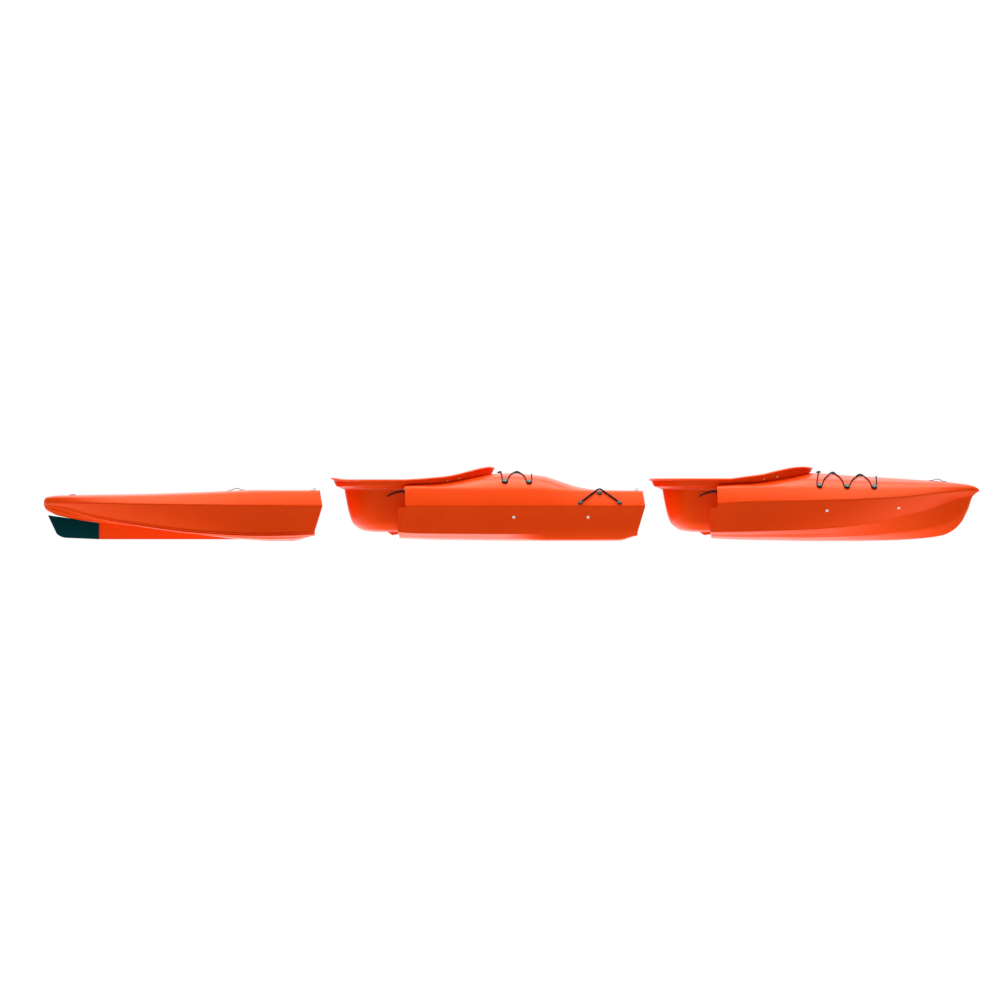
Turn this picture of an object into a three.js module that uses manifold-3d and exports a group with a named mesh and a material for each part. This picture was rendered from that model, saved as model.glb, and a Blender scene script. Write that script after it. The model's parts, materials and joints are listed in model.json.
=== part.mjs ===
// A three-section sit-inside kayak, laid out in line with its sections apart, ready to dock.
// Millimetres, +X to the bow, +Y to port, +Z up; the origin is under the middle of the whole layout.
import * as THREE from 'three';
import { mergeVertices } from 'three/addons/utils/BufferGeometryUtils.js';
import Module from 'manifold-3d';

const wasm = await Module();
wasm.setup();

// Driving sizes of the hulls
const halfBeam = 360; // half-width at the knuckle, the widest line of the hull
const deckHeight = 266; // side deck above the keel, at a joint
const sternLength = 1447;
const midLength = 1246;
const bowLength = 1361;
const midGap = 433; // between the stern's knuckle and the middle section's, laid out
const bowGap = 376;
const wall = 6; // rotomoulded skin
const gap = 0.3; // between two pieces that touch
const overrun = 60; // how far a cut runs past what it cuts

// Driving sizes of the cockpits, and of the tub that plugs into the section behind
const tubHalfWidth = 225;
const tubFloor = 47; // underside of the tub above the keel
const tubTopStep = 4; // from the side deck up to the tub's top
const tubTop = deckHeight + tubTopStep;
const midTubDepth = 318; // how far the tub reaches behind the joint
const bowTubDepth = 287;
const socketClearance = 14; // round the tub in its socket
const openingReach = 754; // from the back of the tub to the front of the cockpit opening
const openingNose = 330; // length of the opening's rounded front
const rimOverhang = 45; // how far the coaming's roll stands outside the opening
const rearOverhang = 70; // the same at the back of the tub
const coamingTopShare = 1.4549; // of deckHeight: front of the coaming above the keel
const coamingTop = coamingTopShare * deckHeight;
const frontLean = 40; // how far the front end's chine lies behind its knuckle
const rearLean = 31;
const flangeReach = 38; // male flange behind the rear end's knuckle
const flangeWall = 5;
const flangeClearance = 2;

// Colours of the real materials
const orange = { color: 0xff5519, roughness: 0.45, metalness: 0 };
const darkRubber = { color: 0x0f2624, roughness: 0.75, metalness: 0 };
const blackPlastic = { color: 0x1b1c1d, roughness: 0.5, metalness: 0 };
const blackFoam = { color: 0x202123, roughness: 0.95, metalness: 0 };
const blackCord = { color: 0x161616, roughness: 0.9, metalness: 0 };
const steel = { color: 0xc9c8c2, roughness: 0.3, metalness: 1 };
const railAlloy = { color: 0x8f9296, roughness: 0.4, metalness: 1 };

// Where the sections stand in the layout
const layoutLength = sternLength + midGap + midLength + bowGap + bowLength;
const sternX = -layoutLength / 2;
const midX = sternX + sternLength + midGap;
const bowX = midX + midLength + bowGap;

// Lines of the hulls. Each pair is a share of the section's length and a value there:
// heights as shares of deckHeight, half-widths as shares of halfBeam, and
// shoulderRise as the share of the way from knuckle height to crown height.
const sternLineShares = {
  keelZ: [[0, 0.7], [0.007, 0.62], [0.029, 0.55], [0.05, 0.5], [0.194, 0.357], [0.327, 0.29],
    [0.56, 0.124], [0.72, 0.03], [0.83, 0], [0.896, 0], [1, 0.08]],
  keelFlat: [[0, 0.3], [0.5, 0.35], [1, 0.38]],
  chineY: [[0, 0.02], [0.007, 0.05], [0.029, 0.09], [0.05, 0.12], [0.1, 0.18], [0.194, 0.29],
    [0.327, 0.45], [0.56, 0.67], [0.776, 0.79], [0.896, 0.81], [1, 0.81]],
  chineZ: [[0, 0.72], [0.007, 0.69], [0.05, 0.66], [0.194, 0.447], [0.327, 0.32], [0.56, 0.16],
    [0.776, 0.105], [0.896, 0.115], [1, 0.14]],
  knuckleY: [[0, 0.03], [0.007, 0.08], [0.029, 0.16], [0.05, 0.21], [0.1, 0.31], [0.194, 0.47],
    [0.327, 0.665], [0.56, 0.89], [0.776, 0.985], [0.896, 1], [1, 1]],
  knuckleZ: [[0, 0.745], [0.05, 0.74], [0.194, 0.737], [0.327, 0.725], [0.56, 0.707], [1, 0.686]],
  shoulderRise: [[0, 0.7], [0.3, 0.8], [0.7, 0.9], [1, 0.93]],
  crownZ: [[0, 0.79], [0.007, 0.85], [0.029, 0.877], [0.05, 0.89], [0.194, 0.905], [0.327, 0.915],
    [0.56, 0.955], [0.776, 1], [0.896, 1.004], [1, 1.004]],
};
const midLineShares = {
  keelZ: [[0, 0.053], [0.1, 0.03], [0.35, 0.012], [0.65, 0], [0.887, 0], [1, 0.08]],
  keelFlat: [[0, 0.38], [1, 0.38]],
  chineY: [[0, 0.81], [1, 0.81]],
  chineZ: [[0, 0.177], [0.057, 0.155], [0.5, 0.14], [0.887, 0.14], [1, 0.155]],
  knuckleY: [[0, 1], [1, 1]],
  knuckleZ: [[0, 0.684], [1, 0.682]],
  shoulderRise: [[0, 0.87], [0.04, 0.85], [0.121, 0.77], [0.173, 0.72], [0.242, 0.65], [0.307, 0.6],
    [0.359, 0.565], [0.415, 0.555], [0.457, 0.56], [0.516, 0.575], [0.574, 0.6], [0.615, 0.64],
    [0.653, 0.7], [0.72, 0.84], [0.787, 0.93], [1, 0.95]],
  crownZ: [[0, 1.11], [0.121, 1.158], [0.242, 1.235], [0.307, 1.277], [0.359, 1.308], [0.415, 1.323],
    [0.457, 1.32], [0.516, 1.297], [0.574, 1.27], [0.615, 1.214], [0.653, 1.154], [0.72, 1.056],
    [0.787, 1.008], [0.887, 0.996], [1, 0.989]],
};
const bowLineShares = {
  keelZ: [[0, 0.053], [0.067, 0.03], [0.264, 0.008], [0.36, 0], [0.51, 0], [0.61, 0.006], [0.69, 0.019],
    [0.751, 0.038], [0.812, 0.068], [0.869, 0.124], [0.896, 0.195], [0.916, 0.274], [0.935, 0.39],
    [0.949, 0.526], [0.961, 0.665], [0.97, 0.81], [0.976, 0.875], [1, 0.975]],
  keelFlat: [[0, 0.38], [0.5, 0.34], [0.8, 0.1], [1, 0.05]],
  chineY: [[0, 0.81], [0.17, 0.8], [0.315, 0.74], [0.51, 0.58], [0.697, 0.34], [0.83, 0.17],
    [0.903, 0.09], [0.955, 0.05], [0.985, 0.03], [1, 0.015]],
  chineZ: [[0, 0.177], [0.067, 0.184], [0.315, 0.222], [0.413, 0.248], [0.51, 0.297], [0.608, 0.372],
    [0.708, 0.496], [0.805, 0.62], [0.903, 0.81], [0.972, 0.9], [1, 0.985]],
  knuckleY: [[0, 1], [0.17, 0.997], [0.315, 0.958], [0.51, 0.83], [0.697, 0.617], [0.83, 0.405],
    [0.903, 0.255], [0.955, 0.14], [0.985, 0.065], [1, 0.025]],
  knuckleZ: [[0, 0.722], [0.1, 0.763], [0.315, 0.782], [0.51, 0.808], [0.697, 0.853], [0.83, 0.925],
    [0.903, 0.962], [0.972, 0.99], [1, 0.995]],
  shoulderRise: [[0, 0.78], [0.067, 0.75], [0.128, 0.7], [0.19, 0.63], [0.239, 0.57], [0.285, 0.53],
    [0.3615, 0.49], [0.388, 0.48], [1, 0.48]],
  crownZ: [[0, 1.143], [0.067, 1.168], [0.128, 1.195], [0.19, 1.244], [0.239, 1.282], [0.285, 1.308],
    [0.3615, 1.33], [0.388, 1.325], [0.506, 1.278], [0.597, 1.252], [0.721, 1.21], [0.874, 1.154],
    [0.927, 1.124], [0.972, 1.085], [0.991, 1.045], [1, 1.01]],
};
const sternStationShares = [0, 0.007, 0.029, 0.05, 0.1, 0.147, 0.194, 0.26, 0.327, 0.405, 0.483, 0.56,
  0.632, 0.704, 0.776, 0.836, 0.896, 1];
const midStationShares = [0, 0.057, 0.121, 0.182, 0.242, 0.3, 0.359, 0.415, 0.457, 0.516, 0.574, 0.615,
  0.653, 0.687, 0.72, 0.754, 0.787, 0.887, 1];
const bowStationShares = [0, 0.067, 0.128, 0.19, 0.239, 0.285, 0.3615, 0.435, 0.506, 0.597, 0.66, 0.721,
  0.775, 0.83, 0.869, 0.9, 0.92, 0.938, 0.953, 0.965, 0.976, 0.988, 1];
const bilgeYShare = 0.68; // of the chine's half-width
const bilgeRiseShare = 0.3; // of the way from keel to chine
const shoulderYShare = 0.833; // of the knuckle's half-width
// The deck between the shoulders: share of the way from shoulder to centreline, and share of the rise
const endCrownShares = [[0.18, 0.479], [0.42, 0.743], [0.68, 0.912], [0.88, 0.984]];
const midCrownShares = [[0.1, 0.36], [0.22, 0.66], [0.4, 0.87], [0.7, 0.98]];

// How far each long line of an end lies behind the knuckle, in shares of that end's lean
const frontLeanShares = { keel: 1.7, bilge: 1.5, chine: 1, knuckle: 0, deck: 0.33 };
const rearLeanShares = { keel: 1, bilge: 1, chine: 1, knuckle: 0, deck: 0.1 };
const noLeanShares = { keel: 0, bilge: 0, chine: 0, knuckle: 0, deck: 0 };

// Value of a line at a share of the length: a smooth curve through its pairs that never overshoots
function lineAt(pairs, t) {
  const last = pairs.length - 1;
  if (t <= pairs[0][0]) return pairs[0][1];
  if (t >= pairs[last][0]) return pairs[last][1];
  const i = pairs.findIndex((pair) => pair[0] > t) - 1;
  const slope = (k) => (pairs[k + 1][1] - pairs[k][1]) / (pairs[k + 1][0] - pairs[k][0]);
  const tangent = (k) => {
    if (k === 0) return slope(0);
    if (k === last) return slope(last - 1);
    const before = slope(k - 1);
    const after = slope(k);
    return before * after <= 0 ? 0 : (2 * before * after) / (before + after);
  };
  const span = pairs[i + 1][0] - pairs[i][0];
  const u = (t - pairs[i][0]) / span;
  const rise = pairs[i + 1][1] - pairs[i][1];
  const start = tangent(i) * span;
  const end = tangent(i + 1) * span;
  return pairs[i][1] + u * start + u * u * (3 * rise - 2 * start - end)
    + u * u * u * (start + end - 2 * rise);
}

// Half-widths and heights of a hull's long lines at one station
function linesAt(hull, t) {
  const { lineShares } = hull;
  const keelZ = lineAt(lineShares.keelZ, t) * deckHeight;
  const chineY = lineAt(lineShares.chineY, t) * halfBeam;
  const chineZ = lineAt(lineShares.chineZ, t) * deckHeight;
  const knuckleY = lineAt(lineShares.knuckleY, t) * halfBeam;
  const knuckleZ = lineAt(lineShares.knuckleZ, t) * deckHeight;
  const crownZ = lineAt(lineShares.crownZ, t) * deckHeight;
  return {
    keelZ,
    flatY: lineAt(lineShares.keelFlat, t) * chineY,
    bilgeY: bilgeYShare * chineY,
    bilgeZ: keelZ + bilgeRiseShare * (chineZ - keelZ),
    chineY,
    chineZ,
    knuckleY,
    knuckleZ,
    shoulderY: shoulderYShare * knuckleY,
    shoulderZ: knuckleZ + lineAt(lineShares.shoulderRise, t) * (crownZ - knuckleZ),
    crownZ,
  };
}

// The same lines where the hull's flat facets run, straight from one station to the next
function facetLinesAt(hull, x) {
  const t = THREE.MathUtils.clamp(x / hull.length, 0, 1);
  const shares = hull.stationShares;
  const next = Math.max(1, shares.findIndex((share) => share >= t));
  const mix = (t - shares[next - 1]) / (shares[next] - shares[next - 1]);
  const rear = linesAt(hull, shares[next - 1]);
  const front = linesAt(hull, shares[next]);
  const mixed = (key) => rear[key] + mix * (front[key] - rear[key]);
  return Object.fromEntries(Object.keys(rear).map((key) => [key, mixed(key)]));
}

// Height of the deck at a place between the shoulders of a hull
function deckZ(hull, x, y) {
  const line = facetLinesAt(hull, x);
  const step = THREE.MathUtils.clamp(1 - Math.abs(y) / line.shoulderY, 0, 1);
  const steps = [[0, 0], ...hull.crownShares, [1, 1]];
  const next = Math.max(1, steps.findIndex(([share]) => share >= step));
  const [before, after] = [steps[next - 1], steps[next]];
  const mix = (step - before[0]) / (after[0] - before[0]);
  const rise = before[1] + mix * (after[1] - before[1]);
  return line.shoulderZ + (line.crownZ - line.shoulderZ) * rise;
}

// Move each corner of a closed outline in along its two edges' normals
function insetOutline(points, inset) {
  if (inset === 0) return points;
  const count = points.length;
  const normal = (a, b) => {
    const dy = b[1] - a[1];
    const dz = b[2] - a[2];
    const size = Math.hypot(dy, dz);
    return [dz / size, -dy / size];
  };
  return points.map((point, i) => {
    const before = normal(points[(i + count - 1) % count], point);
    const after = normal(point, points[(i + 1) % count]);
    const spread = 1 + before[0] * after[0] + before[1] * after[1];
    const dy = (before[0] + after[0]) / spread;
    const dz = (before[1] + after[1]) / spread;
    return [point[0], point[1] + dy * inset, point[2] + dz * inset];
  });
}

// One cross-section of a hull: from the keel up the starboard side to the crown, and down to port
function hullRing(hull, t, inset = 0, shift = 0, lean = 0, leanShares = noLeanShares) {
  const line = linesAt(hull, t);
  const x = t * hull.length + shift;
  const at = (part, y, z) => [x - lean * leanShares[part], -y, z];
  const half = [
    at('keel', 0, line.keelZ),
    at('keel', line.flatY, line.keelZ),
    at('bilge', line.bilgeY, line.bilgeZ),
    at('chine', line.chineY, line.chineZ),
    at('knuckle', line.knuckleY, line.knuckleZ),
    at('deck', line.shoulderY, line.shoulderZ),
  ];
  for (const [step, rise] of hull.crownShares) {
    const z = line.shoulderZ + (line.crownZ - line.shoulderZ) * rise;
    half.push(at('deck', line.shoulderY * (1 - step), z));
  }
  half.push(at('deck', 0, line.crownZ));
  const other = half.slice(1, -1).reverse().map(([px, py, pz]) => [px, -py, pz]);
  return insetOutline([...half, ...other], inset);
}

// A closed solid through rings that mirror across the centre plane, with its ends closed straight across
function loft(rings) {
  const count = rings[0].length;
  const half = count / 2;
  const triangles = [];
  for (let r = 0; r + 1 < rings.length; r += 1) {
    for (let i = 0; i < count; i += 1) {
      const j = (i + 1) % count;
      const [a, b, c, d] = [r * count + i, r * count + j, (r + 1) * count + j, (r + 1) * count + i];
      triangles.push(...(i < half ? [a, b, c, a, c, d] : [a, b, d, b, c, d]));
    }
  }
  const cap = (base, turned) => {
    const add = (a, b, c) => triangles.push(...(turned ? [a, c, b] : [a, b, c]).map((k) => base + k));
    add(0, count - 1, count - 2);
    add(0, count - 2, 2);
    add(0, 2, 1);
    for (let i = 2; i < half - 1; i += 1) {
      add(i, count - i, i + 1);
      add(i + 1, count - i, count - i - 1);
    }
    add(half - 1, half + 1, half);
  };
  cap(0, false);
  cap((rings.length - 1) * count, true);
  return solidFrom(rings.flat(), triangles);
}

// A manifold solid from points and triangles, turned inside out where they faced in
function solidFrom(points, triangles) {
  let volume = 0;
  for (let i = 0; i < triangles.length; i += 3) {
    const [a, b, c] = [0, 1, 2].map((k) => new THREE.Vector3(...points[triangles[i + k]]));
    volume += a.dot(b.cross(c));
  }
  const order = volume < 0 ? [0, 2, 1] : [0, 1, 2];
  const triVerts = new Uint32Array(triangles.length);
  for (let i = 0; i < triangles.length; i += 3) {
    for (let k = 0; k < 3; k += 1) triVerts[i + k] = triangles[i + order[k]];
  }
  return new wasm.Manifold(new wasm.Mesh({
    numProp: 3, vertProperties: new Float32Array(points.flat()), triVerts,
  }));
}

// A manifold solid from a three.js geometry, placed by a matrix
const mergeDistance = 1e-4;

function solid(geometry, matrix = new THREE.Matrix4()) {
  const plain = geometry.clone().applyMatrix4(matrix);
  plain.deleteAttribute('normal');
  plain.deleteAttribute('uv');
  const merged = mergeVertices(plain, mergeDistance);
  const { position } = merged.attributes;
  const points = [];
  for (let i = 0; i < position.count; i += 1) {
    points.push([position.getX(i), position.getY(i), position.getZ(i)]);
  }
  return solidFrom(points, [...merged.index.array]);
}

function boxSolid(low, high) {
  const size = high.map((value, i) => value - low[i]);
  const middle = high.map((value, i) => (value + low[i]) / 2);
  return solid(new THREE.BoxGeometry(...size), new THREE.Matrix4().makeTranslation(...middle));
}

// A frame that stands at a point with its Z along a normal and its X as near the bow as it can be
function frameAt(point, normal) {
  const z = normal.clone().normalize();
  const y = z.clone().cross(new THREE.Vector3(1, 0, 0)).normalize();
  const x = y.clone().cross(z);
  return new THREE.Matrix4().makeBasis(x, y, z).setPosition(point);
}

// A turned piece: its profile of radius and height pairs spins about the frame's Z
function turned(profile, matrix, sides) {
  const lathe = new THREE.LatheGeometry(profile.map(([r, h]) => new THREE.Vector2(r, h)), sides);
  lathe.rotateX(Math.PI / 2);
  return solid(lathe, matrix);
}

// A flat outline drawn in X and Z, thickened across the kayak from one Y to another
function sideExtrusion(outline, yLow, yHigh) {
  const shape = new THREE.Shape(outline.map(([x, z]) => new THREE.Vector2(x, z)));
  const slab = new THREE.ExtrudeGeometry(shape, { depth: yHigh - yLow, bevelEnabled: false });
  slab.rotateX(Math.PI / 2);
  slab.translate(0, yHigh, 0);
  return solid(slab);
}

// A curve whose steps fall on its own listed points, so short bends get as many steps as they need
class PointCurve extends THREE.CatmullRomCurve3 {
  getPointAt(u, target) {
    return this.getPoint(u, target);
  }

  getTangentAt(u, target) {
    return this.getTangent(u, target);
  }
}

// A round cord through a list of points
function cord(points, diameter, sides) {
  const section = new THREE.Shape();
  for (let i = 0; i < sides; i += 1) {
    const angle = (2 * Math.PI * i) / sides;
    section[i ? 'lineTo' : 'moveTo']((Math.cos(angle) * diameter) / 2, (Math.sin(angle) * diameter) / 2);
  }
  const extrudePath = new PointCurve(points, false, 'centripetal');
  return solid(new THREE.ExtrudeGeometry(section, { steps: points.length - 1, extrudePath }));
}

// Put a solid into a group as a named mesh
function addPiece(group, name, body, look) {
  const mesh = body.getMesh();
  const geometry = new THREE.BufferGeometry();
  geometry.setAttribute('position', new THREE.BufferAttribute(new Float32Array(mesh.vertProperties), 3));
  geometry.setIndex(new THREE.BufferAttribute(new Uint32Array(mesh.triVerts), 1));
  geometry.computeVertexNormals();
  const piece = new THREE.Mesh(geometry, new THREE.MeshStandardMaterial(look));
  piece.name = name;
  group.add(piece);
  return piece;
}

// The same solid on the other side of the centre plane
function toPort(body) {
  return body.mirror([0, 1, 0]);
}

// The tub: it narrows towards its floor, and its back is half an ellipse seen from above
const tubRiseShares = [0, 0.015, 0.045, 0.12, 0.21, 0.46, 0.63, 1]; // of its height
const tubInsetShares = [1, 0.77, 0.58, 0.4, 0.27, 0.145, 0.095, 0]; // of its bilge
const tubBilge = 165; // how much shorter the floor is than the top
const tubSideShare = 0.6; // of the bilge, on each side
const tubEndShare = 0.6; // of the depth, that the rounded back takes
const tubEndSteps = 6;

function tubRing(depth, grow, inset, z, frontX) {
  const halfWidth = tubHalfWidth - tubSideShare * inset + grow;
  const reach = depth - inset;
  const endLength = tubEndShare * reach + grow;
  const centreX = (tubEndShare - 1) * reach;
  const half = [[frontX, 0, z], [frontX, -halfWidth, z]];
  for (let i = 0; i <= tubEndSteps; i += 1) {
    const angle = (Math.PI / 2) * (i / tubEndSteps);
    const y = i === tubEndSteps ? 0 : -halfWidth * Math.cos(angle);
    half.push([centreX - endLength * Math.sin(angle), y, z]);
  }
  const other = half.slice(1, -1).reverse().map(([x, y, height]) => [x, -y, height]);
  return [...half, ...other];
}

// Tub-shaped solid behind a joint at x = 0, grown all round, from the grown floor to a height
function tubSolid(depth, grow, frontX, topZ) {
  const rings = tubRiseShares.map((rise, i) => {
    const z = tubFloor + rise * (tubTop - tubFloor) - (i === tubRiseShares.length - 1 ? 0 : grow);
    return tubRing(depth, grow, tubInsetShares[i] * tubBilge, z, frontX);
  });
  if (topZ > tubTop) rings.push(tubRing(depth, grow, 0, topZ, frontX));
  return loft(rings);
}

// Outline of the cockpit opening seen from above, grown by its own amount at the sides, the back and
// the nose; heights come from a function of the place
const outlineSideSteps = 3;
const outlineNoseSteps = 8;
const outlineBackSteps = 7;

function openingRing(depth, [sideGrow, backGrow, noseGrow], height) {
  const halfWidth = tubHalfWidth + sideGrow;
  const noseX = openingReach - depth - openingNose;
  const backX = tubEndShare * depth - depth;
  const half = [];
  for (let i = 0; i <= outlineNoseSteps; i += 1) {
    const angle = (Math.PI / 2) * (i / outlineNoseSteps);
    half.push([noseX + (openingNose + noseGrow) * Math.cos(angle), -halfWidth * Math.sin(angle)]);
  }
  for (let i = 1; i < outlineSideSteps; i += 1) {
    half.push([noseX + (backX - noseX) * (i / outlineSideSteps), -halfWidth]);
  }
  for (let i = 0; i <= outlineBackSteps; i += 1) {
    const angle = (Math.PI / 2) * (i / outlineBackSteps);
    const y = i === outlineBackSteps ? 0 : -halfWidth * Math.cos(angle);
    half.push([backX - (tubEndShare * depth + backGrow) * Math.sin(angle), y]);
  }
  half[0][1] = 0;
  const whole = [...half, ...half.slice(1, -1).reverse().map(([x, y]) => [x, -y])];
  return whole.map(([x, y]) => [x, y, height(x, y)]);
}

// Hull solids: the moulded outside, the same grown by the gap for seating pieces on it, and the hollow
const bluntEndInset = 9; // of the hollow's ends that no other section plugs into

function hullOutside(hull, inset = 0) {
  const last = hull.stationShares.length - 1;
  return loft(hull.stationShares.map((t, i) => {
    if (i === 0 && hull.rearEnd) return hullRing(hull, t, inset, inset, rearLean, rearLeanShares);
    if (i === last && hull.frontEnd) return hullRing(hull, t, inset, -inset, frontLean, frontLeanShares);
    return hullRing(hull, t, inset);
  }));
}

function hullHollow(hull) {
  const rings = [];
  const first = hull.hollowShares[0];
  const last = hull.hollowShares[1];
  for (const t of hull.stationShares) {
    if (t > first && t < last) rings.push(hullRing(hull, t, wall));
  }
  if (hull.rearEnd) {
    rings.unshift(hullRing(hull, first, wall, wall, rearLean, rearLeanShares));
  } else {
    rings.unshift(hullRing(hull, first, bluntEndInset));
  }
  if (hull.frontEnd) {
    rings.push(hullRing(hull, last, wall, -(rebateDepth + wall), frontLean, frontLeanShares));
  } else {
    rings.push(hullRing(hull, last, bluntEndInset));
  }
  return loft(rings);
}

// Front end of a section: a rebate that takes the next section's flange, and a socket for its tub
const rebateClearance = 10; // from the flange's tip to the rebate's end
const rebateDepth = flangeReach + rebateClearance;
const rebateSkin = 6.5;
const socketDepth = Math.max(midTubDepth, bowTubDepth);
const notchHalfWidth = 85; // takes the wedge under the tub
const notchReach = 112;
const notchFloor = 23;
const wedgeClearance = 7;
const wedgeBottom = notchFloor + wedgeClearance;
const wedgeStart = 34; // behind the joint
const wedgeTip = 68;
const wedgeEnd = 98;

function cutFrontEnd(body, hull) {
  const place = (piece) => piece.translate([hull.length, 0, 0]);
  const socket = place(tubSolid(socketDepth, socketClearance, overrun, coamingTop + overrun));
  const notch = place(boxSolid([-notchReach, -notchHalfWidth, notchFloor],
    [overrun, notchHalfWidth, tubFloor + wall]));
  const flat = hullRing(hull, 1, rebateSkin, -rebateDepth);
  const open = flat.map(([x, y, z]) => [x + rebateDepth + overrun, y, z]);
  const rebate = loft([flat, open]);
  const pocket = boxSolid([hull.length - rebateDepth, -halfBeam, -overrun],
    [hull.length + overrun, halfBeam, linesAt(hull, 1).knuckleZ]);
  return body.subtract(socket).subtract(notch).subtract(rebate.intersect(pocket));
}

// The walls that the front end's hollows need, kept out of the hull's own hollow
function frontEndWalls(hull) {
  const outside = tubSolid(socketDepth, socketClearance + wall, overrun, coamingTop + overrun);
  const notch = boxSolid([-notchReach - wall, -notchHalfWidth - wall, notchFloor - wall],
    [overrun, notchHalfWidth + wall, tubFloor]);
  return outside.add(notch).translate([hull.length, 0, 0]);
}

// Rear end of a section: the tub, the wedge that locks its keel and the flange round its skin
function rearEndSolid(hull) {
  const tub = tubSolid(hull.tubDepth, 0, overrun, tubTop);
  const wedge = sideExtrusion([
    [-wedgeEnd, tubFloor + wall / 2], [-wedgeTip, wedgeBottom], [-wedgeStart, wedgeBottom + wall],
    [overrun, wedgeBottom + wall], [overrun, tubFloor + wall / 2],
  ], -notchHalfWidth + wedgeClearance, notchHalfWidth - wedgeClearance);
  const reference = hulls.stern; // every joint has the same section, the stern's front end
  const band = (inset) => {
    const ring = hullRing(reference, 1, inset).map(([, y, z]) => [y, z]);
    return loft([-flangeReach, rearLean].map((x) => ring.map(([y, z]) => [x, y, z])));
  };
  const outerInset = rebateSkin + flangeClearance;
  const flangeTop = linesAt(reference, 1).knuckleZ - outerInset;
  const below = boxSolid([-halfBeam, -halfBeam, -overrun], [halfBeam, halfBeam, flangeTop]);
  const flange = band(outerInset).subtract(band(outerInset + flangeWall)).intersect(below);
  return tub.add(wedge).add(flange);
}

// The room inside a cockpit: the tub's hollow, and in front of it the opening through the deck
const deckCutStart = 30; // in front of the joint

function cockpitHollow(hull) {
  const well = tubSolid(hull.tubDepth, -wall, overrun, coamingTop + overrun);
  const deckLevel = linesAt(hull, 0).knuckleZ;
  const inside = [-wall, -wall, -wall];
  const opening = loft([
    openingRing(hull.tubDepth, inside, () => deckLevel),
    openingRing(hull.tubDepth, inside, () => coamingTop + overrun),
  ]);
  const ahead = boxSolid([deckCutStart, -halfBeam, -overrun],
    [openingReach + overrun, halfBeam, coamingTop + overrun]);
  return well.add(opening.intersect(ahead));
}

// Coaming: a lip that rolls outwards over a groove and a lower flange, bent round the opening.
// Each corner of its profile has how far out it lies, as a share of the overhang, and its height.
const coamingOutShares = [0, 0, 0.12, 0.86, 1, 1, 0.8, 0.78, 0.62, 0.25, 0.2];
const noseOverhang = 28;
const rollDepth = 10;
const grooveDepth = 22;
const flangeStep = 14; // from the tub's top to the lower edge of the coaming's flange
const flangeBottom = tubTop + flangeStep;
const flangeRise = 5; // and above the deck
const coamingBury = 14; // into the deck before the deck's own surface trims it
const topRound = 4;

function coamingSolid(hull) {
  const backX = -hull.tubDepth - rearOverhang;
  const length = openingReach - hull.tubDepth + noseOverhang - backX;
  const top = (x) => coamingTop * lineAt(hull.coamingTopShares, (x - backX) / length);
  const base = (x, y, rise, bury) => {
    if (x < 0) return tubTop + gap + rise;
    return Math.max(tubTop + gap, deckZ(hull, x, y) - bury) + rise;
  };
  const lowEdge = (x, y) => (x < 0 ? flangeBottom : Math.max(flangeBottom, deckZ(hull, x, y) + flangeRise));
  const heights = [
    (x, y) => base(x, y, 0, coamingBury),
    (x) => top(x) - topRound,
    top,
    top,
    (x) => top(x) - rollDepth / 2,
    (x) => top(x) - rollDepth,
    (x) => top(x) - rollDepth - topRound,
    (x) => top(x) - grooveDepth,
    lowEdge,
    (x, y) => base(x, y, topRound, coamingBury),
    (x, y) => base(x, y, 0, coamingBury),
  ];
  const grown = (out) => [rimOverhang, rearOverhang, noseOverhang].map((over) => out * (over + wall) - wall);
  const loops = coamingOutShares.map((out, i) => openingRing(hull.tubDepth, grown(out), heights[i]));
  const count = loops[0].length;
  const points = loops.flat();
  const triangles = [];
  for (let c = 0; c < loops.length; c += 1) {
    const next = (c + 1) % loops.length;
    for (let i = 0; i < count; i += 1) {
      const j = (i + 1) % count;
      triangles.push(c * count + i, c * count + j, next * count + j);
      triangles.push(c * count + i, next * count + j, next * count + i);
    }
  }
  return solidFrom(points, triangles).subtract(hull.grown);
}

// Seat: a moulded base on the tub's floor and on a leg in the hull, two ears for the backrest,
// and a crowned foam cushion
const seatBack = 172; // behind the joint
const seatFront = 170;
const seatHalfWidth = 165;
const seatTop = 78;
const seatClearance = 3; // round the seat in the tub
const legHalfWidth = 95;
const legBack = 12;
const cushionThickness = 30;
const cushionHalfWidth = 148;
const cushionBack = 128;
const cushionFront = 160;
const backrestX = -150; // hinge of the backrest
const backrestZ = 96;
const barrelRadius = 9;
const barrelHalfLength = 95;
const pinRadius = 5;
const earThickness = 10;
const earRadius = 15;
const earClearance = 2;
const backrestHeight = 178;
const backrestHalfWidth = 128;
const backrestThickness = 32;
const backrestLean = 12; // degrees
const roundSides = 12;

function cylinderY(radius, x, z, yLow, yHigh, sides = roundSides) {
  const geometry = new THREE.CylinderGeometry(radius, radius, yHigh - yLow, sides);
  return solid(geometry, new THREE.Matrix4().makeTranslation(x, (yLow + yHigh) / 2, z));
}

// A pad as rings of one rounded outline: its sides draw in at half height and its top is crowned.
// The rings are given in the pad's own frame, X and Y across it and Z through it.
const padRingShares = [[0.5, 0], [0.93, 0], [1, 0.16], [0.965, 0.42], [1, 0.66], [0.95, 0.8],
  [0.72, 0.92], [0.4, 0.98], [0.1, 1]]; // width and height
const padOutlineSteps = 6; // to each quarter
const padSquareness = 3.4;

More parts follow.
